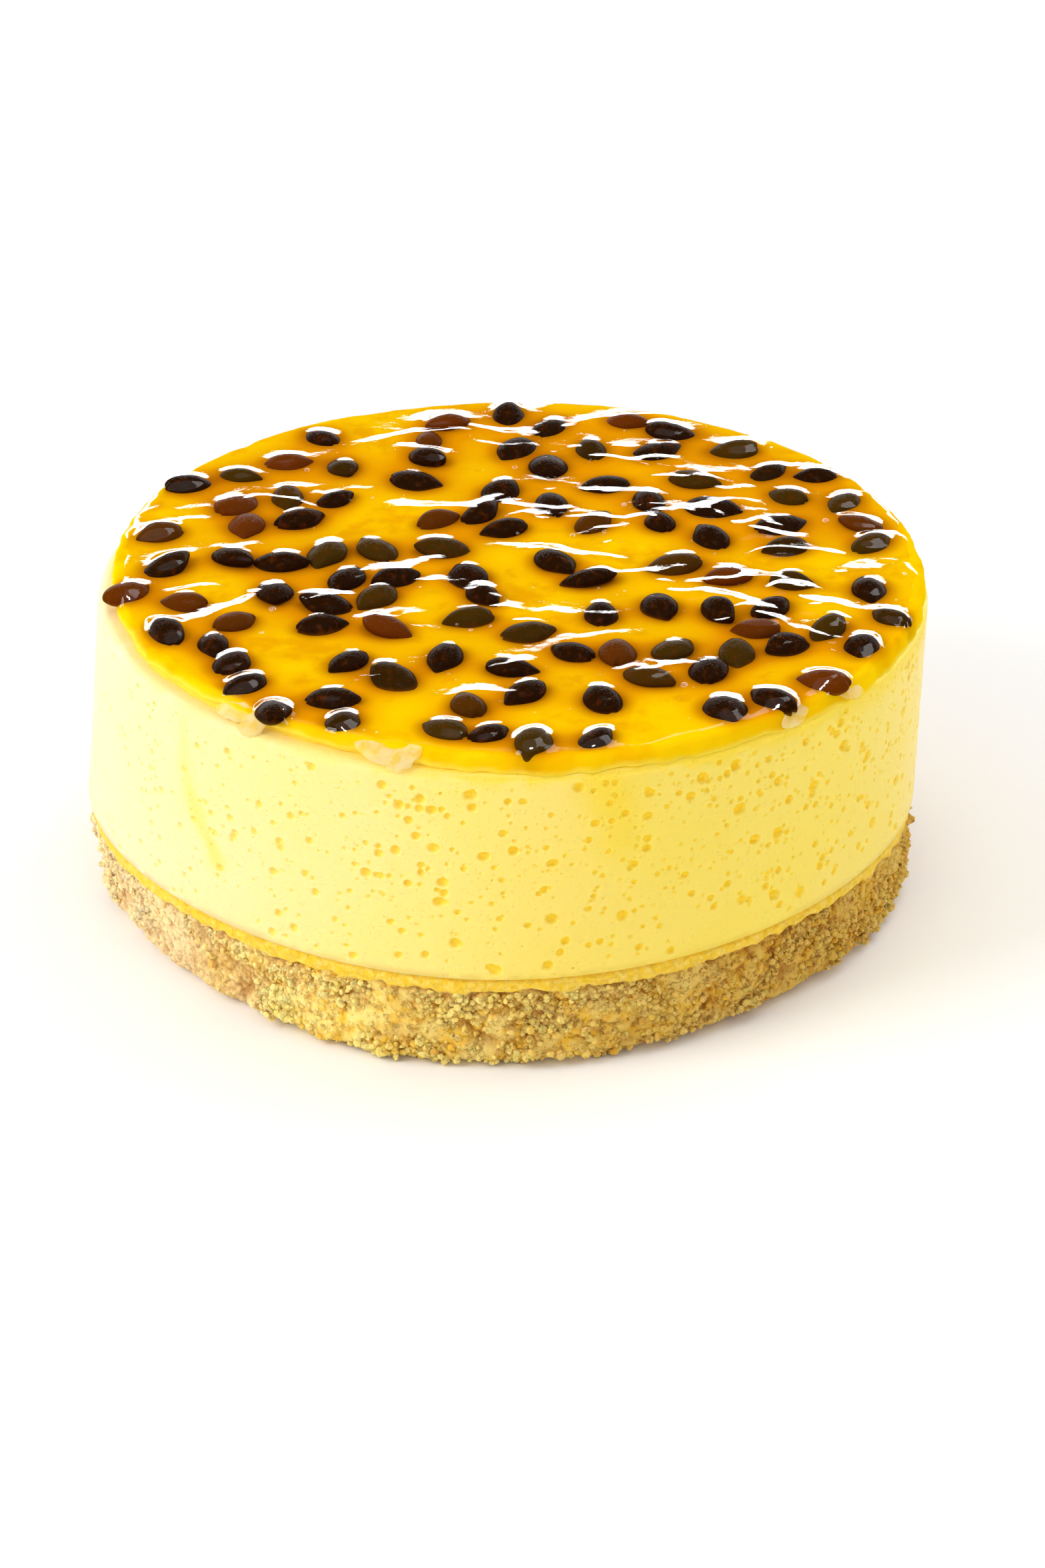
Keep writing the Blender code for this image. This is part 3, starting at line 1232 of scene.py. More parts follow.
    def cells_of(self, x: np.ndarray, y: np.ndarray) -> tuple[np.ndarray, np.ndarray]:
        """Finds the cells that hold these places.

        Args:
            x: The places' x in metres.
            y: Their y.

        Returns:
            The cells' columns and rows.
        """
        columns = np.clip(((x + self.span / 2) / self.cell).astype(int), 0, self.count - 1)
        rows = np.clip(((y + self.span / 2) / self.cell).astype(int), 0, self.count - 1)
        return columns, rows

    def at(self, raster: np.ndarray, x: np.ndarray, y: np.ndarray) -> np.ndarray:
        """The raster's value at each place, blended between its cells.

        Args:
            raster: The raster.
            x: The places' x in metres.
            y: Their y.

        Returns:
            One value for each place.
        """
        u = np.clip((x + self.span / 2) / self.cell - 0.5, 0, self.count - 1.001)
        v = np.clip((y + self.span / 2) / self.cell - 0.5, 0, self.count - 1.001)
        i, j = v.astype(int), u.astype(int)
        a, b = v - i, u - j
        low = raster[i, j] * (1 - b) + raster[i, j + 1] * b
        high = raster[i + 1, j] * (1 - b) + raster[i + 1, j + 1] * b
        return low * (1 - a) + high * a


@dataclass
class JellyPiece:
    """A layer of the jelly: a disc whose top follows a raster and whose side runs down over the rim."""

    name: str
    surface: WetSurface
    heights: np.ndarray
    finish: Finish
    cells: int
    grow: float
    side: float = 3.2 * MM
    foot: float = 0.0370
    rounding: float = 1.0 * MM
    flare: float = 0.32 * MM
    ragged: tuple[Wobble, ...] = (
        Wobble(0.32 * MM, 3.0 * MM, (2.0, 4.0, 1.0)),
        Wobble(0.10 * MM, 1.0 * MM, (7.0, 1.0, 3.0)),
    )
    dive: float = 0.60 * MM
    replaces: tuple[str, ...] = ()

    def form(self) -> bmesh.types.BMesh:
        """A fine square grid with a skirt and a bottom, still square and flat.

        Returns:
            The closed form, from -1 to 1, with its skirt one unit down.
        """
        form = bmesh.new()
        bmesh.ops.create_grid(form, x_segments=self.cells, y_segments=self.cells, size=1.0)
        border = [edge for edge in form.edges if edge.is_boundary]
        skirt = bmesh.ops.extrude_edge_only(form, edges=border)["geom"]
        lowered = [item for item in skirt if isinstance(item, bmesh.types.BMVert)]
        bmesh.ops.translate(form, verts=lowered, vec=(0.0, 0.0, -1.0))
        bmesh.ops.holes_fill(form, edges=[edge for edge in form.edges if edge.is_boundary])
        bmesh.ops.recalc_face_normals(form, faces=form.faces)
        return form

    def shaped(self, points: np.ndarray) -> tuple[np.ndarray, np.ndarray, np.ndarray]:
        """Bends the square grid into the layer.

        Args:
            points: The grid's points.

        Returns:
            The bent points before the lean, their turns about Z and the juice line at each.
        """
        u, v = points[:, 0], points[:, 1]
        x = u * np.sqrt(1.0 - v * v / 2.0)
        y = v * np.sqrt(1.0 - u * u / 2.0)
        turn = np.arctan2(y, x)
        ragged = wobbled(self.ragged, CAKE.ring(turn))
        pulled = CAKE.rim_pull * CAKE.bare_rim(turn)
        outline = CAKE.radius - CAKE.glaze_inset + CAKE.glaze_outline(turn) + self.grow
        outline += ragged - pulled
        shoulder = outline - self.rounding
        bend = self.rounding * math.pi / 2
        way = np.clip(np.hypot(x, y), 0.0, 1.0) * (shoulder + bend + self.side)
        round_off = np.clip((way - shoulder) / self.rounding, 0.0, math.pi / 2)
        reach = np.minimum(way, shoulder) + self.rounding * np.sin(round_off)
        drop = self.rounding * (1.0 - np.cos(round_off)) + np.maximum(0.0, way - shoulder - bend)
        x = reach * np.cos(turn) + self.surface.lean()
        top = self.surface.at(self.heights, x, reach * np.sin(turn))
        z = top - drop
        line = CAKE.juice_line(turn) + 0.7 * pulled
        reach = reach + self.flare * smooth_step(0.0392, 0.0372, z) * (drop > 0)
        reach -= self.dive * smooth_step(line + 0.10 * MM, line - 0.50 * MM, z)
        skirt = points[:, 2] < -0.5
        reach = np.where(skirt, reach * 0.96, reach)
        z = np.where(skirt, np.minimum(z, self.foot), z)
        return np.column_stack((reach * np.cos(turn), reach * np.sin(turn), z)), turn, line

    def build(self) -> bpy.types.Object:
        """Makes the piece.

        Returns:
            The new object.
        """
        mesh = mesh_of(self.form(), self.name)
        shaped, turn, line = self.shaped(points_of(mesh))
        moved = CAKE.leaned(shaped)
        set_points(mesh, moved)
        reach = np.hypot(shaped[:, 0], shaped[:, 1])
        # Painted shade in part: darker jelly beside and among the seeds.
        add_values(mesh, "beside_seed", self.surface.at(self.surface.beside, moved[:, 0], moved[:, 1]))
        add_values(mesh, "crowd", self.surface.at(self.surface.crowd, moved[:, 0], moved[:, 1]))
        drawn_in = reach + CAKE.rim_pull * CAKE.bare_rim(turn)
        start = CAKE.radius - (1.9 + 1.6 * noise_at(shaped, 7.0 * MM, Vector((6.0, 2.0, 5.0)))) * MM
        add_values(mesh, "edge", 0.7 * smooth_step(0.0, 1.0, (drawn_in - start) / (1.7 * MM)))
        outside = smooth_step(CAKE.radius - 2.6 * MM, CAKE.radius - 1.0 * MM, drawn_in)
        add_values(mesh, "run", outside * smooth_step(line + 0.7 * MM, line, shaped[:, 2]))
        return show(self.name, mesh, Slot.GLAZE, self.finish, *self.replaces)


@dataclass
class Bubbles:
    """Small air bubbles caught in the wet film, between the seeds."""

    surface: WetSurface
    finish: FilmFinish = field(default_factory=lambda: FilmFinish(ior=1.6))
    count: int = 70
    sizes: tuple[float, float] = (0.22 * MM, 1.0 * MM)
    field_radius: float = 0.0475
    draw_start: int = 31

    def build(self) -> bpy.types.Object:
        """Makes the bubbles.

        Returns:
            The new object.
        """
        form = bmesh.new()
        bmesh.ops.create_icosphere(form, subdivisions=3, radius=0.5)
        template = mesh_of(form, "bubble_form")
        draw = random.Random(self.draw_start)
        lean = self.surface.lean()
        places = []
        while len(places) < self.count:
            reach = self.field_radius * math.sqrt(draw.random())
            around = draw.uniform(0.0, math.tau)
            x, y = reach * math.cos(around) + lean, reach * math.sin(around)
            spot = np.array([x]), np.array([y])
            if self.surface.at(self.surface.beside, *spot)[0] > 0.12:
                continue
            size = self.sizes[0] + (self.sizes[1] - self.sizes[0]) * draw.random() ** 3
            height = self.surface.at(self.surface.film, *spot)[0] - 0.18 * size
            shape = Matrix.Diagonal((size, size, size * 0.85, 1.0))
            places.append(Matrix.Translation((x, y, height)) @ shape)
        mesh = joined_copies(template, places, "bubbles")
        return show("bubbles", mesh, Slot.GLAZE, self.finish)


@dataclass(frozen=True)
class Flap:
    """One wisp of fruit membrane: its turn about Z, reach, height, length, width, twist and tilt."""

    turn: float
    reach: float
    height: float
    length: float
    width: float
    twist: float
    tilt: float


@dataclass
class PulpFlaps:
    """Pale wisps of fruit membrane that lie over the jelly's rim."""

    finish: PulpFinish = field(default_factory=PulpFinish)
    thickness: float = 0.06 * MM
    flaps: tuple[Flap, ...] = (
        Flap(-131.0, 48.3, 39.4, 6.4, 2.4, 8.0, 44.0),
        Flap(-127.5, 48.7, 39.0, 4.2, 3.0, 36.0, 52.0),
        Flap(-108.0, 48.9, 39.3, 6.6, 2.4, -14.0, 44.0),
        Flap(-104.5, 49.2, 39.3, 4.6, 2.6, 40.0, 50.0),
        Flap(-49.0, 49.4, 39.3, 4.8, 2.2, 14.0, 48.0),
        Flap(-38.0, 49.7, 39.1, 4.2, 2.0, -16.0, 52.0),
        Flap(118.0, 49.7, 39.3, 5.6, 2.2, -10.0, 48.0),
        Flap(44.0, 49.8, 39.2, 5.0, 2.0, 12.0, 50.0),
    )

    def leaf(self, flap: Flap) -> np.ndarray:
        """The middle surface of one wisp: a bent leaf with ragged edges.

        Args:
            flap: The wisp.

        Returns:
            Rows of x, y, z in metres, in place.
        """
        u, v = np.meshgrid(np.linspace(-0.5, 0.5, 15), np.linspace(-0.5, 0.5, 6))
        u, v = u.ravel(), v.ravel()
        width = flap.width * (np.cos(u * math.pi) ** 0.7 * 0.9 + 0.1)
        ragged = noise_at(np.column_stack((u * 6, v * 4, np.full(len(u), flap.turn))), 1.0)
        along = u * flap.length
        across = v * width * (1.0 + 0.35 * ragged)
        rise = 0.05 * flap.length * (0.25 - u**2) + 0.05 * ragged + 0.06 * width * np.abs(v) ** 1.5
        twist, tilt, turn = (math.radians(value) for value in (flap.twist, flap.tilt, flap.turn))
        side = along * math.cos(twist) - across * math.sin(twist)
        down = along * math.sin(twist) + across * math.cos(twist)
        out = -down * math.cos(tilt) + rise * math.sin(tilt)
        up = down * math.sin(tilt) + rise * math.cos(tilt)
        reach = flap.reach - side**2 / (2 * flap.reach) + out
        x = reach * math.cos(turn) - side * math.sin(turn)
        y = reach * math.sin(turn) + side * math.cos(turn)
        return np.column_stack((x, y, flap.height + up)) * MM

    def build(self) -> bpy.types.Object:
        """Makes the wisps.

        Returns:
            The new object.
        """
        form = bmesh.new()
        for flap in self.flaps:
            leaf = bmesh.ops.create_grid(form, x_segments=14, y_segments=5, size=0.5)["verts"]
            leaf.sort(key=lambda vertex: (round(vertex.co.y, 4), vertex.co.x))
            for vertex, place in zip(leaf, CAKE.leaned(self.leaf(flap))):
                vertex.co = place
        bmesh.ops.solidify(form, geom=form.faces[:], thickness=self.thickness)
        bmesh.ops.recalc_face_normals(form, faces=form.faces)
        return show("pulp_wisps", mesh_of(form, "pulp_wisps"), Slot.GLAZE, self.finish)


# The filling


@dataclass(frozen=True)
class Pore:
    """One air hole in the wall: its turn about Z, height, radius, stretch and depth."""

    turn: float
    height: float
    radius: float
    stretch: float
    depth: float

    def centre(self) -> Vector:
        """Where it lies on the round wall."""
        return Vector((CAKE.radius * math.cos(self.turn), CAKE.radius * math.sin(self.turn), self.height))


@dataclass(frozen=True)
class Stain:
    """A streak of juice down the wall: turns in degrees and heights in mm, widths in mm and strengths."""

    path: tuple[tuple[float, float], ...]
    widths: tuple[float, float]
    strengths: tuple[float, float]

    def at(self, turn: np.ndarray, height: np.ndarray, blur: np.ndarray) -> np.ndarray:
        """How strong the stain is at each place.

        Args:
            turn: The places' turns about Z.
            height: Their heights in metres.
            blur: How much farther away each place counts, in metres.

        Returns:
            One strength for each place.
        """
        turns, heights = np.radians([spot[0] for spot in self.path]), [spot[1] * MM for spot in self.path]
        down = np.clip((heights[0] - height) / (heights[0] - heights[-1]), 0.0, 1.0)
        centre = np.interp(-height, -np.array(heights), turns)
        beyond = np.maximum(0.0, heights[-1] - height)
        away = np.hypot((turn - centre) * CAKE.radius, beyond) + blur
        width = (self.widths[0] + (self.widths[1] - self.widths[0]) * down) * MM
        strength = self.strengths[0] + (self.strengths[1] - self.strengths[0]) * down
        return strength * (1.0 - smooth_step(0.0, 1.15, away / width))


@dataclass
class Filling:
    """The set filling, with its air holes sunk into the wall and juice stains at its rim."""

    finish: FillingFinish = field(default_factory=FillingFinish)
    steps: int = 300
    band: float = 1.05 * MM
    pore_count: int = 1900
    smallest: float = 0.15 * MM
    largest: float = 0.78 * MM
    falloff: float = 2.9
    finest: float = 0.125 * MM
    holed_turn: float = math.radians(-44.0)
    soak_and_painted_light_turn: float = math.radians(-52.0)
    stained_turn: float = math.radians(5.0)
    wall_wobble: Wobble = Wobble(0.05 * MM, 2.4 * MM)
    blot_size: float = 3.0 * MM
    fine_blot_size: float = 1.1 * MM
    draw_start: int = 5
    stains: tuple[Stain, ...] = (
        Stain(((-140.0, 38.5), (-139.5, 31.0), (-137.0, 25.0), (-133.0, 20.5)), (1.6, 2.8), (0.25, 0.60)),
        Stain(((-78.0, 38.5), (-76.5, 34.0), (-75.0, 29.0)), (6.0, 3.6), (0.95, 0.55)),
    )

    def profile(self) -> list[tuple[float, float]]:
        """The outline that is turned, from the top of the axis to its foot.

        Returns:
            Pairs of radius and height.
        """
        bottom = CAKE.base_top
        top = CAKE.filling_top + CAKE.layer_gap
        outline = [(0.0, top), (CAKE.radius * 0.85, top), (CAKE.radius * 0.95, top)]
        outline += quarter_round(CAKE.radius, top, CAKE.rim_round, 6)
        start = top - CAKE.rim_round
        count = int(round((start - bottom) / self.band))
        for i in range(1, count + 1):
            share = i / count
            outline.append((CAKE.radius + CAKE.slump * share, start + (bottom - start) * share))
        return outline + [(CAKE.radius * 0.85, bottom), (0.0, bottom)]

    def pores(self) -> list[Pore]:
        """Draws the air holes, more and larger ones towards the right of the front.

        Returns:
            The pores, largest first.
        """
        draw = random.Random(self.draw_start)
        drawn = []
        while len(drawn) < self.pore_count:
            turn = draw.uniform(-math.pi, math.pi)
            crowd = 0.56 + 0.44 * math.cos(turn - self.holed_turn)
            if draw.random() > crowd:
                continue
            chance = draw.random()
            power = 1.0 - self.falloff
            radius = (
                self.smallest**power + chance * (self.largest**power - self.smallest**power)
            ) ** (1.0 / power)
            drawn.append(
                Pore(
                    turn=turn,
                    height=draw.uniform(CAKE.base_top + 0.7 * MM, CAKE.filling_top - 1.3 * MM),
                    radius=min(radius, self.largest * (0.10 + 0.90 * crowd)),
                    stretch=draw.uniform(0.95, 1.3),
                    depth=draw.uniform(0.38, 0.60) + 0.40 * crowd,
                )
            )
        return sorted(drawn, key=lambda pore: -pore.radius)

    def refine(self, form: bmesh.types.BMesh, pores: list[Pore]) -> None:
        """Splits the faces near the pores until each pore has enough of them.

        Args:
            form: The turned form.
            pores: The air holes.
        """
        tree = kdtree.KDTree(len(pores))
        for number, pore in enumerate(pores):
            tree.insert(pore.centre(), number)
        tree.balance()
        for _ in range(3):
            chosen = []
            for edge in form.edges:
                length = edge.calc_length()
                if length > 3.0 * MM or length < self.finest * 1.5:
                    continue
                middle = (edge.verts[0].co + edge.verts[1].co) / 2
                for _, number, distance in tree.find_range(middle, self.largest * 1.6 + length / 2):
                    pore = pores[number]
                    near = pore.radius * pore.stretch * 1.25 + length * 0.55
                    if distance < near and length > max(self.finest * 1.5, pore.radius * 0.42):
                        chosen.append(edge)
                        break
            bmesh.ops.subdivide_edges(form, edges=chosen, cuts=1, use_grid_fill=True)
            wide = [face for face in form.faces if 4 < len(face.verts) < 12]
            bmesh.ops.triangulate(form, faces=wide)

    def sink(self, points: np.ndarray, pores: list[Pore]) -> tuple[np.ndarray, np.ndarray]:
        """Works out how deep each point lies in an air hole.

        Args:
            points: Rows of x, y, z of the turned form.
            pores: The air holes.

        Returns:
            The depth in metres and how much painted shade deepens the place's yellow, 0 to 1.
        """
        tree = kdtree.KDTree(len(points))
        wall = np.flatnonzero(np.hypot(points[:, 0], points[:, 1]) > CAKE.radius * 0.97)
        for number in wall:
            tree.insert(points[number], int(number))
        tree.balance()
        depth = np.zeros(len(points))
        hollow_shade = np.zeros(len(points))
        for pore in pores:
            found = tree.find_range(pore.centre(), pore.radius * pore.stretch * 1.7)
            if not found:
                continue
            numbers = np.array([item[1] for item in found])
            offset = points[numbers] - np.array(pore.centre())
            sideways = -offset[:, 0] * math.sin(pore.turn) + offset[:, 1] * math.cos(pore.turn)
            share = np.hypot(sideways / pore.stretch, offset[:, 2]) / pore.radius
            bowl = np.maximum(0.0, 1.0 - share**2) ** 0.62 * pore.radius * pore.depth
            lip = -0.07 * pore.radius * np.exp(-(((share - 1.15) / 0.22) ** 2))
            sunk = np.where(share < 1.0, bowl, lip)
            depth[numbers] = np.where(np.abs(sunk) > np.abs(depth[numbers]), sunk, depth[numbers])
            # Painted shade: each air hole's inside turns deeper yellow, more so in larger holes and
            # towards the front right.
            tint = np.clip((1.06 - share) * 3.4, 0.0, 1.0) * min(1.0, pore.radius / (0.28 * MM))
            tint *= 0.55 + 0.45 * math.cos(pore.turn - self.holed_turn)
            hollow_shade[numbers] = np.maximum(hollow_shade[numbers], tint)
        return depth, hollow_shade

    def stained(self, points: np.ndarray) -> np.ndarray:
        """How much juice the wall has taken up.

        Args:
            points: Rows of x, y, z.

        Returns:
            One share for each point, 0 to 1.
        """
        turn = np.arctan2(points[:, 1], points[:, 0])
        blot = noise_at(points, self.blot_size, Vector((2.0, 8.0, 1.0)))
        fine = noise_at(points, self.fine_blot_size, Vector((4.0, 1.0, 3.0)))
        right = np.clip(np.cos(turn - self.stained_turn), 0.0, 1.0) ** 2
        reach = (1.2 + 1.5 * blot + 0.6 * fine + 4.0 * right) * MM
        below = CAKE.juice_line(turn) - points[:, 2]
        stain = 1.0 - smooth_step(0.0, 1.0, below / np.maximum(reach, 0.3 * MM))
        stain *= 1.0 - 0.75 * CAKE.bare_rim(turn)
        for streak in self.stains:
            stain = np.maximum(stain, streak.at(turn, points[:, 2], (0.9 * blot + 0.5 * fine) * MM))
        return np.clip(stain, 0.0, 1.0)

    def build(self) -> bpy.types.Object:
        """Makes the filling.

        Returns:
            The new object.
        """
        pores = self.pores()
        form = turned_form(self.profile(), self.steps)
        self.refine(form, pores)
        mesh = mesh_of(form, "cheesecake_cream")
        points = points_of(mesh)
        depth, hollow_shade = self.sink(points, pores)
        reach = np.hypot(points[:, 0], points[:, 1])
        side = np.clip(reach / CAKE.radius, 0.0, 1.0) ** 4
        uneven = CAKE.wall_wander(points) + wobbled((self.wall_wobble,), points)
        turn = np.arctan2(points[:, 1], points[:, 0])
        down = np.clip((CAKE.filling_top - points[:, 2]) / (CAKE.filling_top - CAKE.base_top), 0.0, 1.0)
        flank = CAKE.flank(turn) * (0.25 + 0.75 * down)
        push = (uneven - depth - flank) * side / np.maximum(reach, MM)
        moved = points.copy()
        moved[:, :2] *= (1.0 + push)[:, None]
        # This is the painted shade inside the air holes.
        add_values(mesh, "hollow_shade", hollow_shade)
        add_values(mesh, "stain", self.stained(points))
        # Partly painted light: the wall is paler towards the back left, as if lit more strongly there, and
        # yellower where juice soaked in at the front right.
        soak_and_painted_light = (0.5 + 0.5 * np.cos(turn - self.soak_and_painted_light_turn)) ** 2
        soak_and_painted_light += 0.12 * noise_at(points, 12.0 * MM)
        add_values(mesh, "soak_and_painted_light", np.clip(soak_and_painted_light, 0.0, 1.0))
        set_points(mesh, CAKE.leaned(moved))
        return show("cheesecake_cream", mesh, Slot.FILLING, self.finish, "cheesecake_filling")


# The biscuit base


@dataclass
class BiscuitBase:
    """The pressed base: a broken side of clumps and crevices under a smooth band, and loose grains."""

    finish: CrumbFinish = field(default_factory=CrumbFinish)
    steps: int = 1440
    bands: int = 60
    chamfer: float = 0.0006
    crag_depth: float = 0.00054
    crag_size: float = 0.0042
    fine_depth: float = 0.6
    fine_size: float = 0.42
    clump_size: float = 2.0 * MM
    clump_depth: float = 0.50 * MM
    crumb_size: float = 0.80 * MM
    crumb_depth: float = 0.42 * MM
    crumb_wobbles: tuple[Wobble, ...] = (
        Wobble(0.20 * MM, 0.90 * MM, (7.0, 3.0, 1.0)),
        Wobble(0.15 * MM, 0.45 * MM, (7.0, 3.0, 1.0)),
    )
    loose_size: float = 6.5 * MM
    loose_shift: tuple[float, float, float] = (1.0, 2.0, 9.0)
    band_height: float = 1.85 * MM
    band_wobbles: tuple[Wobble, ...] = (Wobble(0.55 * MM, 4.0 * MM), Wobble(0.45 * MM, 1.3 * MM))
    band_relief: tuple[Wobble, ...] = (Wobble(0.10 * MM, 2.0 * MM), Wobble(0.08 * MM, 0.6 * MM))
    left_turn: float = math.radians(-165.0)
    left_light_turn: float = math.radians(-175.0)
    right_shade_turn: float = math.radians(-25.0)
    foot_tuck: float = 1.3 * MM
    left_taper: float = 2.3 * MM
    inset: float = 0.55 * MM
    grain_count: int = 9400
    grain_sizes: tuple[float, float] = (0.20 * MM, 1.10 * MM)
    draw_start: int = 23

    def profile(self) -> list[tuple[float, float]]:
        """The outline that is turned, from the top of the axis to its foot.

        Returns:
            Pairs of radius and height.
        """
        radius = CAKE.radius + CAKE.base_spread
        outline = [(0.0, CAKE.base_top), (radius * 0.93, CAKE.base_top), (radius * 0.975, CAKE.base_top)]
        for i in range(self.bands + 1):
            share = i / self.bands
            height = CAKE.base_top * (1.0 - share)
            from_edge = min(height, CAKE.base_top - height)
            worn = max(0.0, self.chamfer - from_edge)
            outline.append((radius - worn, height))
        return outline + [(radius * 0.88, 0.0), (radius * 0.8, 0.0), (0.0, 0.0)]

    def relief(self, points: np.ndarray) -> tuple[np.ndarray, ...]:
        """Works out the broken side.

        Args:
            points: Rows of x, y, z of the turned form.

        Returns:
            How far each point stands out in metres, the painted shade in its crevices, its share of smooth
            band and its clump's tone.
        """
        shift = Vector((7.0, 3.0, 1.0))
        crag = noise_at(points, self.crag_size)
        crag += self.fine_depth * noise_at(points, self.crag_size * self.fine_size, shift)
        out = self.crag_depth * crag
        near, gap, _ = clump_at(points, self.clump_size)
        near_small, gap_small, tone = clump_at(points, self.crumb_size, 3.0)
        out += self.clump_depth * (0.5 - near)
        fine = self.crumb_depth * (0.5 - near_small) + wobbled(self.crumb_wobbles, points)
        out += fine
        loose = noise_at(points, self.loose_size, Vector(self.loose_shift))
        loose = smooth_step(-0.30, 0.20, loose)
        out -= fine * 0.40 * (1.0 - loose)
        # Painted shade: seams, hollows, pits, cracks and loose patches under the grains get the darker
        # crevice colour.
        seam = (1.0 - smooth_step(0.02, 0.24, gap_small)) * loose
        split = smooth_step(0.0, 0.35, noise_at(points, 4.0 * MM, Vector((4.0, 9.0, 2.0))))
        crack = (1.0 - smooth_step(0.0, 0.09, gap)) * split
        hollow_shade = smooth_step(0.0, -0.60 * MM, out)
        pit = smooth_step(-0.06 * MM, -0.30 * MM, fine) * loose
        crevice = 0.34 * seam + 0.62 * hollow_shade + 0.54 * pit + 0.5 * crack + 0.16 * loose
        out -= 0.22 * MM * crack + 0.12 * MM * seam + self.inset
        turn = np.arctan2(points[:, 1], points[:, 0])
        ring = CAKE.ring(turn)
        lower = CAKE.base_top - self.band_height + wobbled(self.band_wobbles, ring)
        band = smooth_step(-0.25 * MM, 0.30 * MM, points[:, 2] - lower)
        # Painted shade in the crack under the smooth band.
        crack = np.exp(-(((points[:, 2] - lower + 0.25 * MM) / (0.20 * MM)) ** 2))
        crack *= smooth_step(-0.15, 0.35, noise_at(ring, 3.0 * MM, shift))
        even = wobbled(self.band_relief, points) - 0.5 * self.inset
        out = out * (1.0 - band) + even * band - 0.5 * MM * crack
        out -= self.foot_tuck * smooth_step(2.2 * MM, 0.0, points[:, 2]) ** 2
        out -= CAKE.flank(turn) + self.left_taper * self.left(turn) * (1.0 - points[:, 2] / CAKE.base_top)
        crevice = np.maximum(np.clip(crevice, 0.0, 0.9) * (1.0 - band), 0.8 * crack)
        # Less painted crevice shade on the lit left side.
        crevice *= 1.0 - 0.35 * self.left(turn)
        return out, crevice, band, smooth_step(0.35, 0.95, tone)

    def left(self, turn: np.ndarray) -> np.ndarray:
        """Share of the left side, where the base draws in towards its foot and its painted crevice shade
        is lighter.
        """
        return smooth_step(0.50, 1.0, np.cos(turn - self.left_turn))

    def left_light(self, points: np.ndarray) -> np.ndarray:
        """How much painted light pales the biscuit, more so on the left.

        Args:
            points: Rows of x, y, z.

        Returns:
            One share for each point.
        """
        turn = np.arctan2(points[:, 1], points[:, 0])
        share = 0.5 + 0.5 * np.cos(turn - self.left_light_turn) + 0.10 * noise_at(points, 6.0 * MM)
        return 0.85 * smooth_step(0.72, 1.0, share)

    def right_shade(self, points: np.ndarray) -> np.ndarray:
        """How much painted shade darkens the biscuit, more so on the right.

        Args:
            points: Rows of x, y, z.

        Returns:
            One share for each point.
        """
        turn = np.arctan2(points[:, 1], points[:, 0])
        share = 0.5 + 0.5 * np.cos(turn - self.right_shade_turn) + 0.2 * noise_at(points, 9.0 * MM)
        return 0.65 * smooth_step(0.45, 1.0, share)

    def grains(self, points: np.ndarray, count: int) -> bpy.types.Mesh:
        """Loose grains that stick to the broken side.

        Args:
            points: The finished side's points, leaned.
            count: Number of grains.

        Returns:
            One mesh with all the grains.
        """
        form = bmesh.new()
        bmesh.ops.create_icosphere(form, subdivisions=1, radius=0.5)
        template = mesh_of(form, "grain_form")
        draw = random.Random(self.draw_start)
        limit = CAKE.base_top - self.band_height - 0.3 * MM
        outer = np.hypot(points[:, 0], points[:, 1]) > CAKE.radius * 0.965
        side = np.flatnonzero(outer & (points[:, 2] < limit))
        places = []
        while len(places) < count:
            spot = points[side[draw.randrange(len(side))]]
            zone = noise.noise(Vector(spot) / self.loose_size + Vector(self.loose_shift))
            loose = 0.5 + 1.6 * zone
            if draw.random() > max(0.2, min(1.0, loose)) * (1.0 - 0.4 * spot[2] / limit):
                continue
            size = self.grain_sizes[0] + (self.grain_sizes[1] - self.grain_sizes[0]) * draw.random() ** 2.2
            size *= 1.35 - 0.5 * spot[2] / limit
            outward = Vector((spot[0], spot[1], 0.0)).normalized()
            centre = Vector(spot) + outward * size * draw.uniform(-0.15, 0.36)
            centre.z = max(centre.z, size * 0.45)
            turn = Euler([draw.uniform(0.0, math.tau) for _ in range(3)]).to_matrix().to_4x4()
            shape = Matrix.Diagonal([size * draw.uniform(0.65, 1.3) for _ in range(3)] + [1.0])
            places.append(Matrix.Translation(centre) @ turn @ shape)
        mesh = joined_copies(template, places, "biscuit_grains")
        mesh.shade_flat()
        corners = points_of(mesh)
        wobble = 0.12 * MM * noise_at(corners, 0.30 * MM)
        away = corners / np.maximum(np.linalg.norm(corners, axis=1), MM)[:, None]
        corners += away * wobble[:, None]
        corners[:, 2] = np.maximum(corners[:, 2], 0.0)
        set_points(mesh, corners)
        tones = np.repeat([draw.random() for _ in places], len(template.vertices))
        add_values(mesh, "tone", np.clip(tones * 1.5 - 0.3, 0.0, 1.0))
        # Painted shade darkens the grains on the right.
        add_values(mesh, "right_shade", self.right_shade(corners))
        # Painted light pales the grains on the left.
        add_values(mesh, "left_light", self.left_light(corners))
        add_values(mesh, "crevice", np.clip(0.42 - tones * 1.6, 0.0, 0.42))
        add_values(mesh, "band", np.zeros(len(corners)))
        return mesh

    def build(self) -> list[bpy.types.Object]:
        """Makes the base and its grains.

        Returns:
            The two new objects.
        """
        mesh = mesh_of(turned_form(self.profile(), self.steps), "pressed_biscuit")
        points = points_of(mesh)
        out, crevice, band, tone = self.relief(points)
        reach = np.hypot(points[:, 0], points[:, 1])
        side = np.clip((reach / CAKE.radius - 0.96) / 0.04, 0.0, 1.0)
        moved = points.copy()
        moved[:, :2] *= (1.0 + out * side / np.maximum(reach, MM))[:, None]
        add_values(mesh, "crevice", crevice)
        add_values(mesh, "band", band)
        add_values(mesh, "tone", 0.8 * tone)
        # Painted light pales the left side.
        add_values(mesh, "left_light", self.left_light(points))
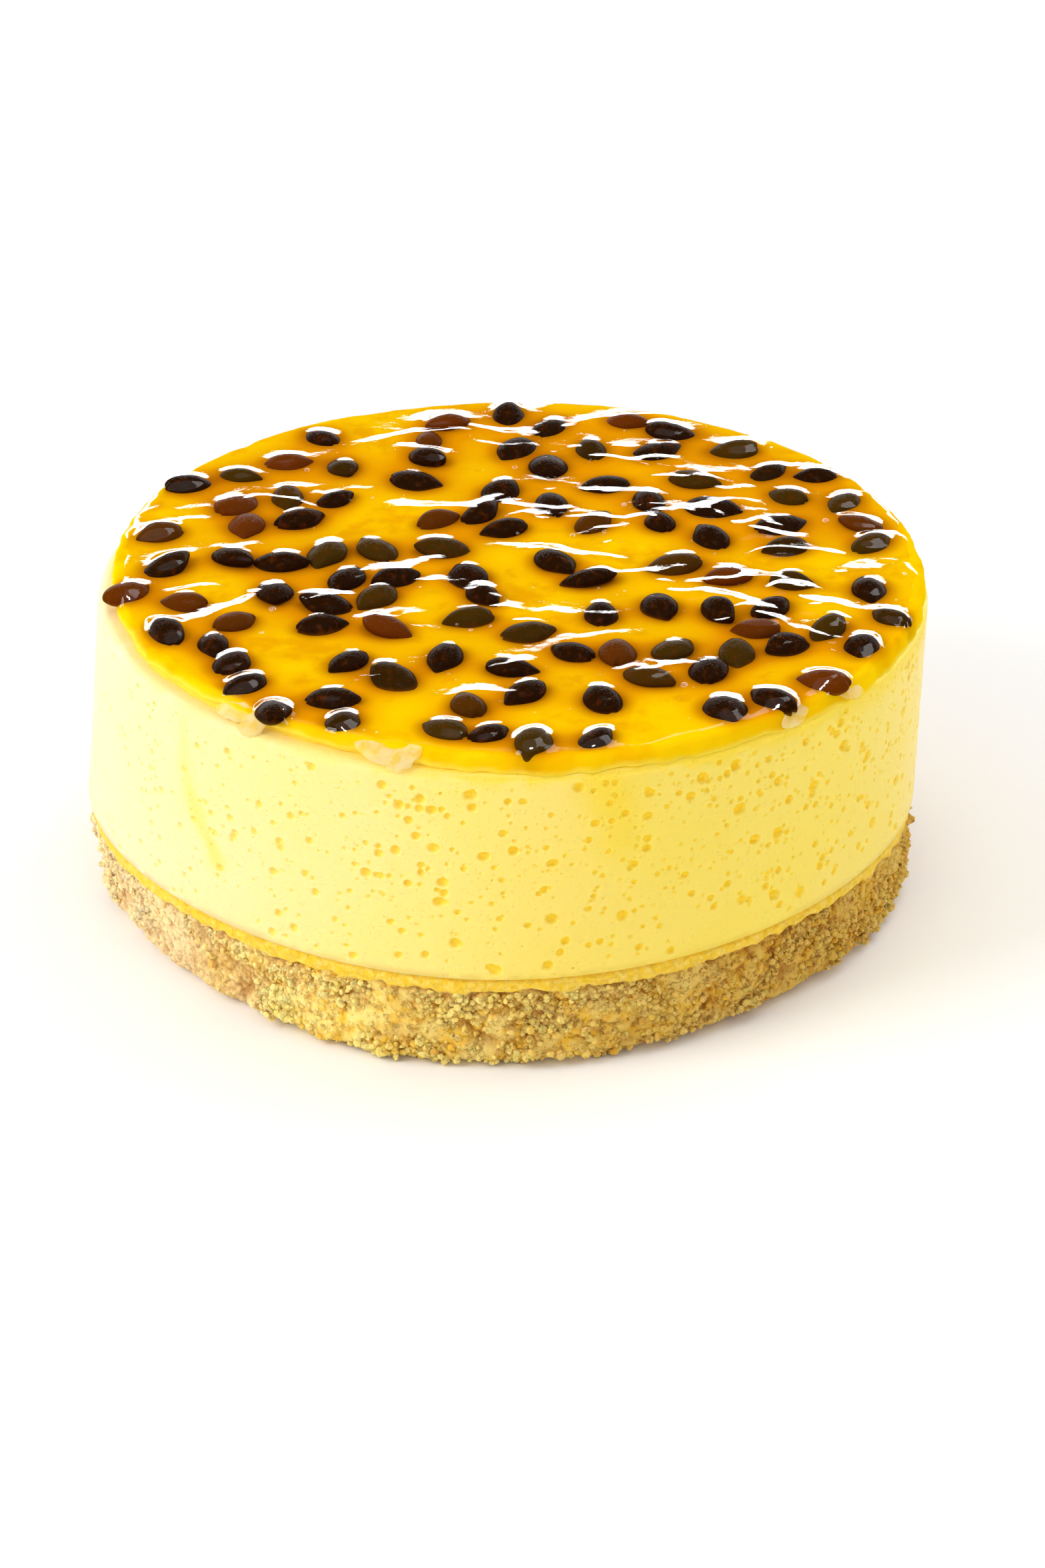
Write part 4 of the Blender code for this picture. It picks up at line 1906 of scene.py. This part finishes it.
        # Painted shade darkens the right side.
        add_values(mesh, "right_shade", self.right_shade(points))
        moved = CAKE.leaned(moved)
        set_points(mesh, moved)
        base = show("pressed_biscuit", mesh, Slot.BISCUIT, self.finish, "biscuit_base")
        grains = self.grains(moved, self.grain_count)
        return [base, show("biscuit_grains", grains, Slot.BISCUIT, self.finish)]


# The studio


@dataclass
class Studio:
    """Pale floor, soft light and the camera at the photograph's angle."""

    picture: tuple[int, int] = (1568, 2352)
    focal_pixels: float = 8600.0
    sensor: float = 36.0
    camera_place: tuple[float, float, float] = (0.00255, -0.6225, 0.3392)
    camera_pitch: float = math.radians(27.81)
    floor_size: float = 6.0
    floor_colour: Colour = (0.97, 0.97, 0.97)
    sky: float = 0.97
    key_power: float = 2.3
    key_place: tuple[float, float, float] = (-0.52, -0.22, 0.42)
    key_size: float = 0.34
    top_power: float = 1.5
    top_place: tuple[float, float, float] = (0.36, 0.28, 0.72)
    top_size: tuple[float, float] = (0.46, 0.34)
    sparkle_power: float = 4.5
    sparkle_place: tuple[float, float, float] = (0.08, -0.16, 0.80)
    sparkle_size: float = 0.12
    glossy_sky: tuple[tuple[float, float], ...] = (
        (-0.10, 9.0),
        (0.235, 9.0),
        (0.260, 0.01),
        (0.84, 0.01),
        (0.90, 0.5),
        (1.0, 0.5),
    )

    def camera(self) -> None:
        """Sets the camera where the photograph was taken from."""
        data = bpy.data.cameras.new("camera")
        data.sensor_width = self.sensor
        data.lens = self.focal_pixels / max(self.picture) * self.sensor
        data.clip_start = 0.01
        camera = bpy.data.objects.new("camera", data)
        camera.location = self.camera_place
        camera.rotation_euler = (math.pi / 2 - self.camera_pitch, 0.0, 0.0)
        bpy.context.scene.collection.objects.link(camera)
        bpy.context.scene.camera = camera

    def floor(self) -> None:
        """Lays the pale floor."""
        form = bmesh.new()
        bmesh.ops.create_grid(form, x_segments=1, y_segments=1, size=self.floor_size / 2)
        mesh = mesh_of(form, "floor")
        recipe = Recipe("pale_floor")
        mesh.materials.append(recipe.principled(Base_Color=self.floor_colour, Roughness=0.9))
        floor = bpy.data.objects.new("floor", mesh)
        bpy.context.scene.collection.objects.link(floor)

    def lamp(
        self,
        name: str,
        power: float,
        place: tuple[float, float, float],
        size: tuple[float, float],
    ) -> bpy.types.Object:
        """Hangs a soft lamp that faces the cake.

        Args:
            name: The lamp's name.
            power: Its power in watts.
            place: Where it hangs.
            size: Its width and height in metres.

        Returns:
            The lamp.
        """
        data = bpy.data.lights.new(name, "AREA")
        data.shape = "RECTANGLE"
        data.size, data.size_y = size
        data.energy = power
        lamp = bpy.data.objects.new(name, data)
        lamp.location = place
        aim = Vector((0.0, 0.0, 0.02)) - Vector(place)
        lamp.rotation_euler = aim.to_track_quat("-Z", "Y").to_euler()
        bpy.context.scene.collection.objects.link(lamp)
        return lamp

    def world(self) -> None:
        """Surrounds the cake with soft white light, and shows gloss a bright band near the horizon."""
        world = bpy.data.worlds.new("studio")
        world.use_nodes = True
        tree = world.node_tree
        tree.nodes.clear()
        place = tree.nodes.new("ShaderNodeTexCoord")
        parts = tree.nodes.new("ShaderNodeSeparateXYZ")
        tree.links.new(place.outputs["Generated"], parts.inputs[0])
        low, high = self.glossy_sky[0][0], self.glossy_sky[-1][0]
        brightest = max(value for _, value in self.glossy_sky)
        stretch = tree.nodes.new("ShaderNodeMapRange")
        stretch.inputs["From Min"].default_value = low
        stretch.inputs["From Max"].default_value = high
        tree.links.new(parts.outputs["Z"], stretch.inputs["Value"])
        ramp = tree.nodes.new("ShaderNodeValToRGB")
        while len(ramp.color_ramp.elements) < len(self.glossy_sky):
            ramp.color_ramp.elements.new(0.5)
        for stop, (height, value) in zip(ramp.color_ramp.elements, self.glossy_sky):
            stop.position = (height - low) / (high - low)
            stop.color = (*[value / brightest] * 3, 1.0)
        tree.links.new(stretch.outputs["Result"], ramp.inputs["Fac"])
        gloss = tree.nodes.new("ShaderNodeBackground")
        gloss.inputs["Strength"].default_value = brightest
        tree.links.new(ramp.outputs["Color"], gloss.inputs["Color"])
        soft = tree.nodes.new("ShaderNodeBackground")
        soft.inputs["Strength"].default_value = self.sky
        path = tree.nodes.new("ShaderNodeLightPath")
        blend = tree.nodes.new("ShaderNodeMixShader")
        tree.links.new(path.outputs["Is Glossy Ray"], blend.inputs[0])
        tree.links.new(soft.outputs[0], blend.inputs[1])
        tree.links.new(gloss.outputs[0], blend.inputs[2])
        output = tree.nodes.new("ShaderNodeOutputWorld")
        tree.links.new(blend.outputs[0], output.inputs["Surface"])
        bpy.context.scene.world = world

    def build(self) -> None:
        """Sets up the whole studio."""
        self.camera()
        self.floor()
        self.lamp("key", self.key_power, self.key_place, (self.key_size, self.key_size))
        self.lamp("top", self.top_power, self.top_place, self.top_size)
        sparkle = self.lamp(
            "sparkle", self.sparkle_power, self.sparkle_place, (self.sparkle_size, self.sparkle_size)
        )
        sparkle.visible_diffuse = False
        self.world()
        bpy.context.scene.view_settings.view_transform = "Standard"


def main() -> None:
    """Builds the cake and its studio."""
    logging.basicConfig(level=logging.INFO, format="%(message)s")
    Studio().build()
    BiscuitBase().build()
    Filling().build()
    seed_points, seeds = SeedPiece().build()
    surface = WetSurface()
    surface.drape(seed_points, seeds)
    jelly = JellyPiece(
        name="fruit_jelly",
        surface=surface,
        heights=surface.jelly,
        finish=JellyFinish(),
        cells=240,
        grow=-0.03 * MM,
        replaces=("passion_fruit_glaze",),
    )
    film = JellyPiece(
        name="wet_film",
        surface=surface,
        heights=surface.film,
        finish=FilmFinish(),
        cells=300,
        grow=-0.20 * MM,
    )
    jelly.build()
    film.build()
    Bubbles(surface).build()
    PulpFlaps().build()


if __name__ == "__main__":
    main()
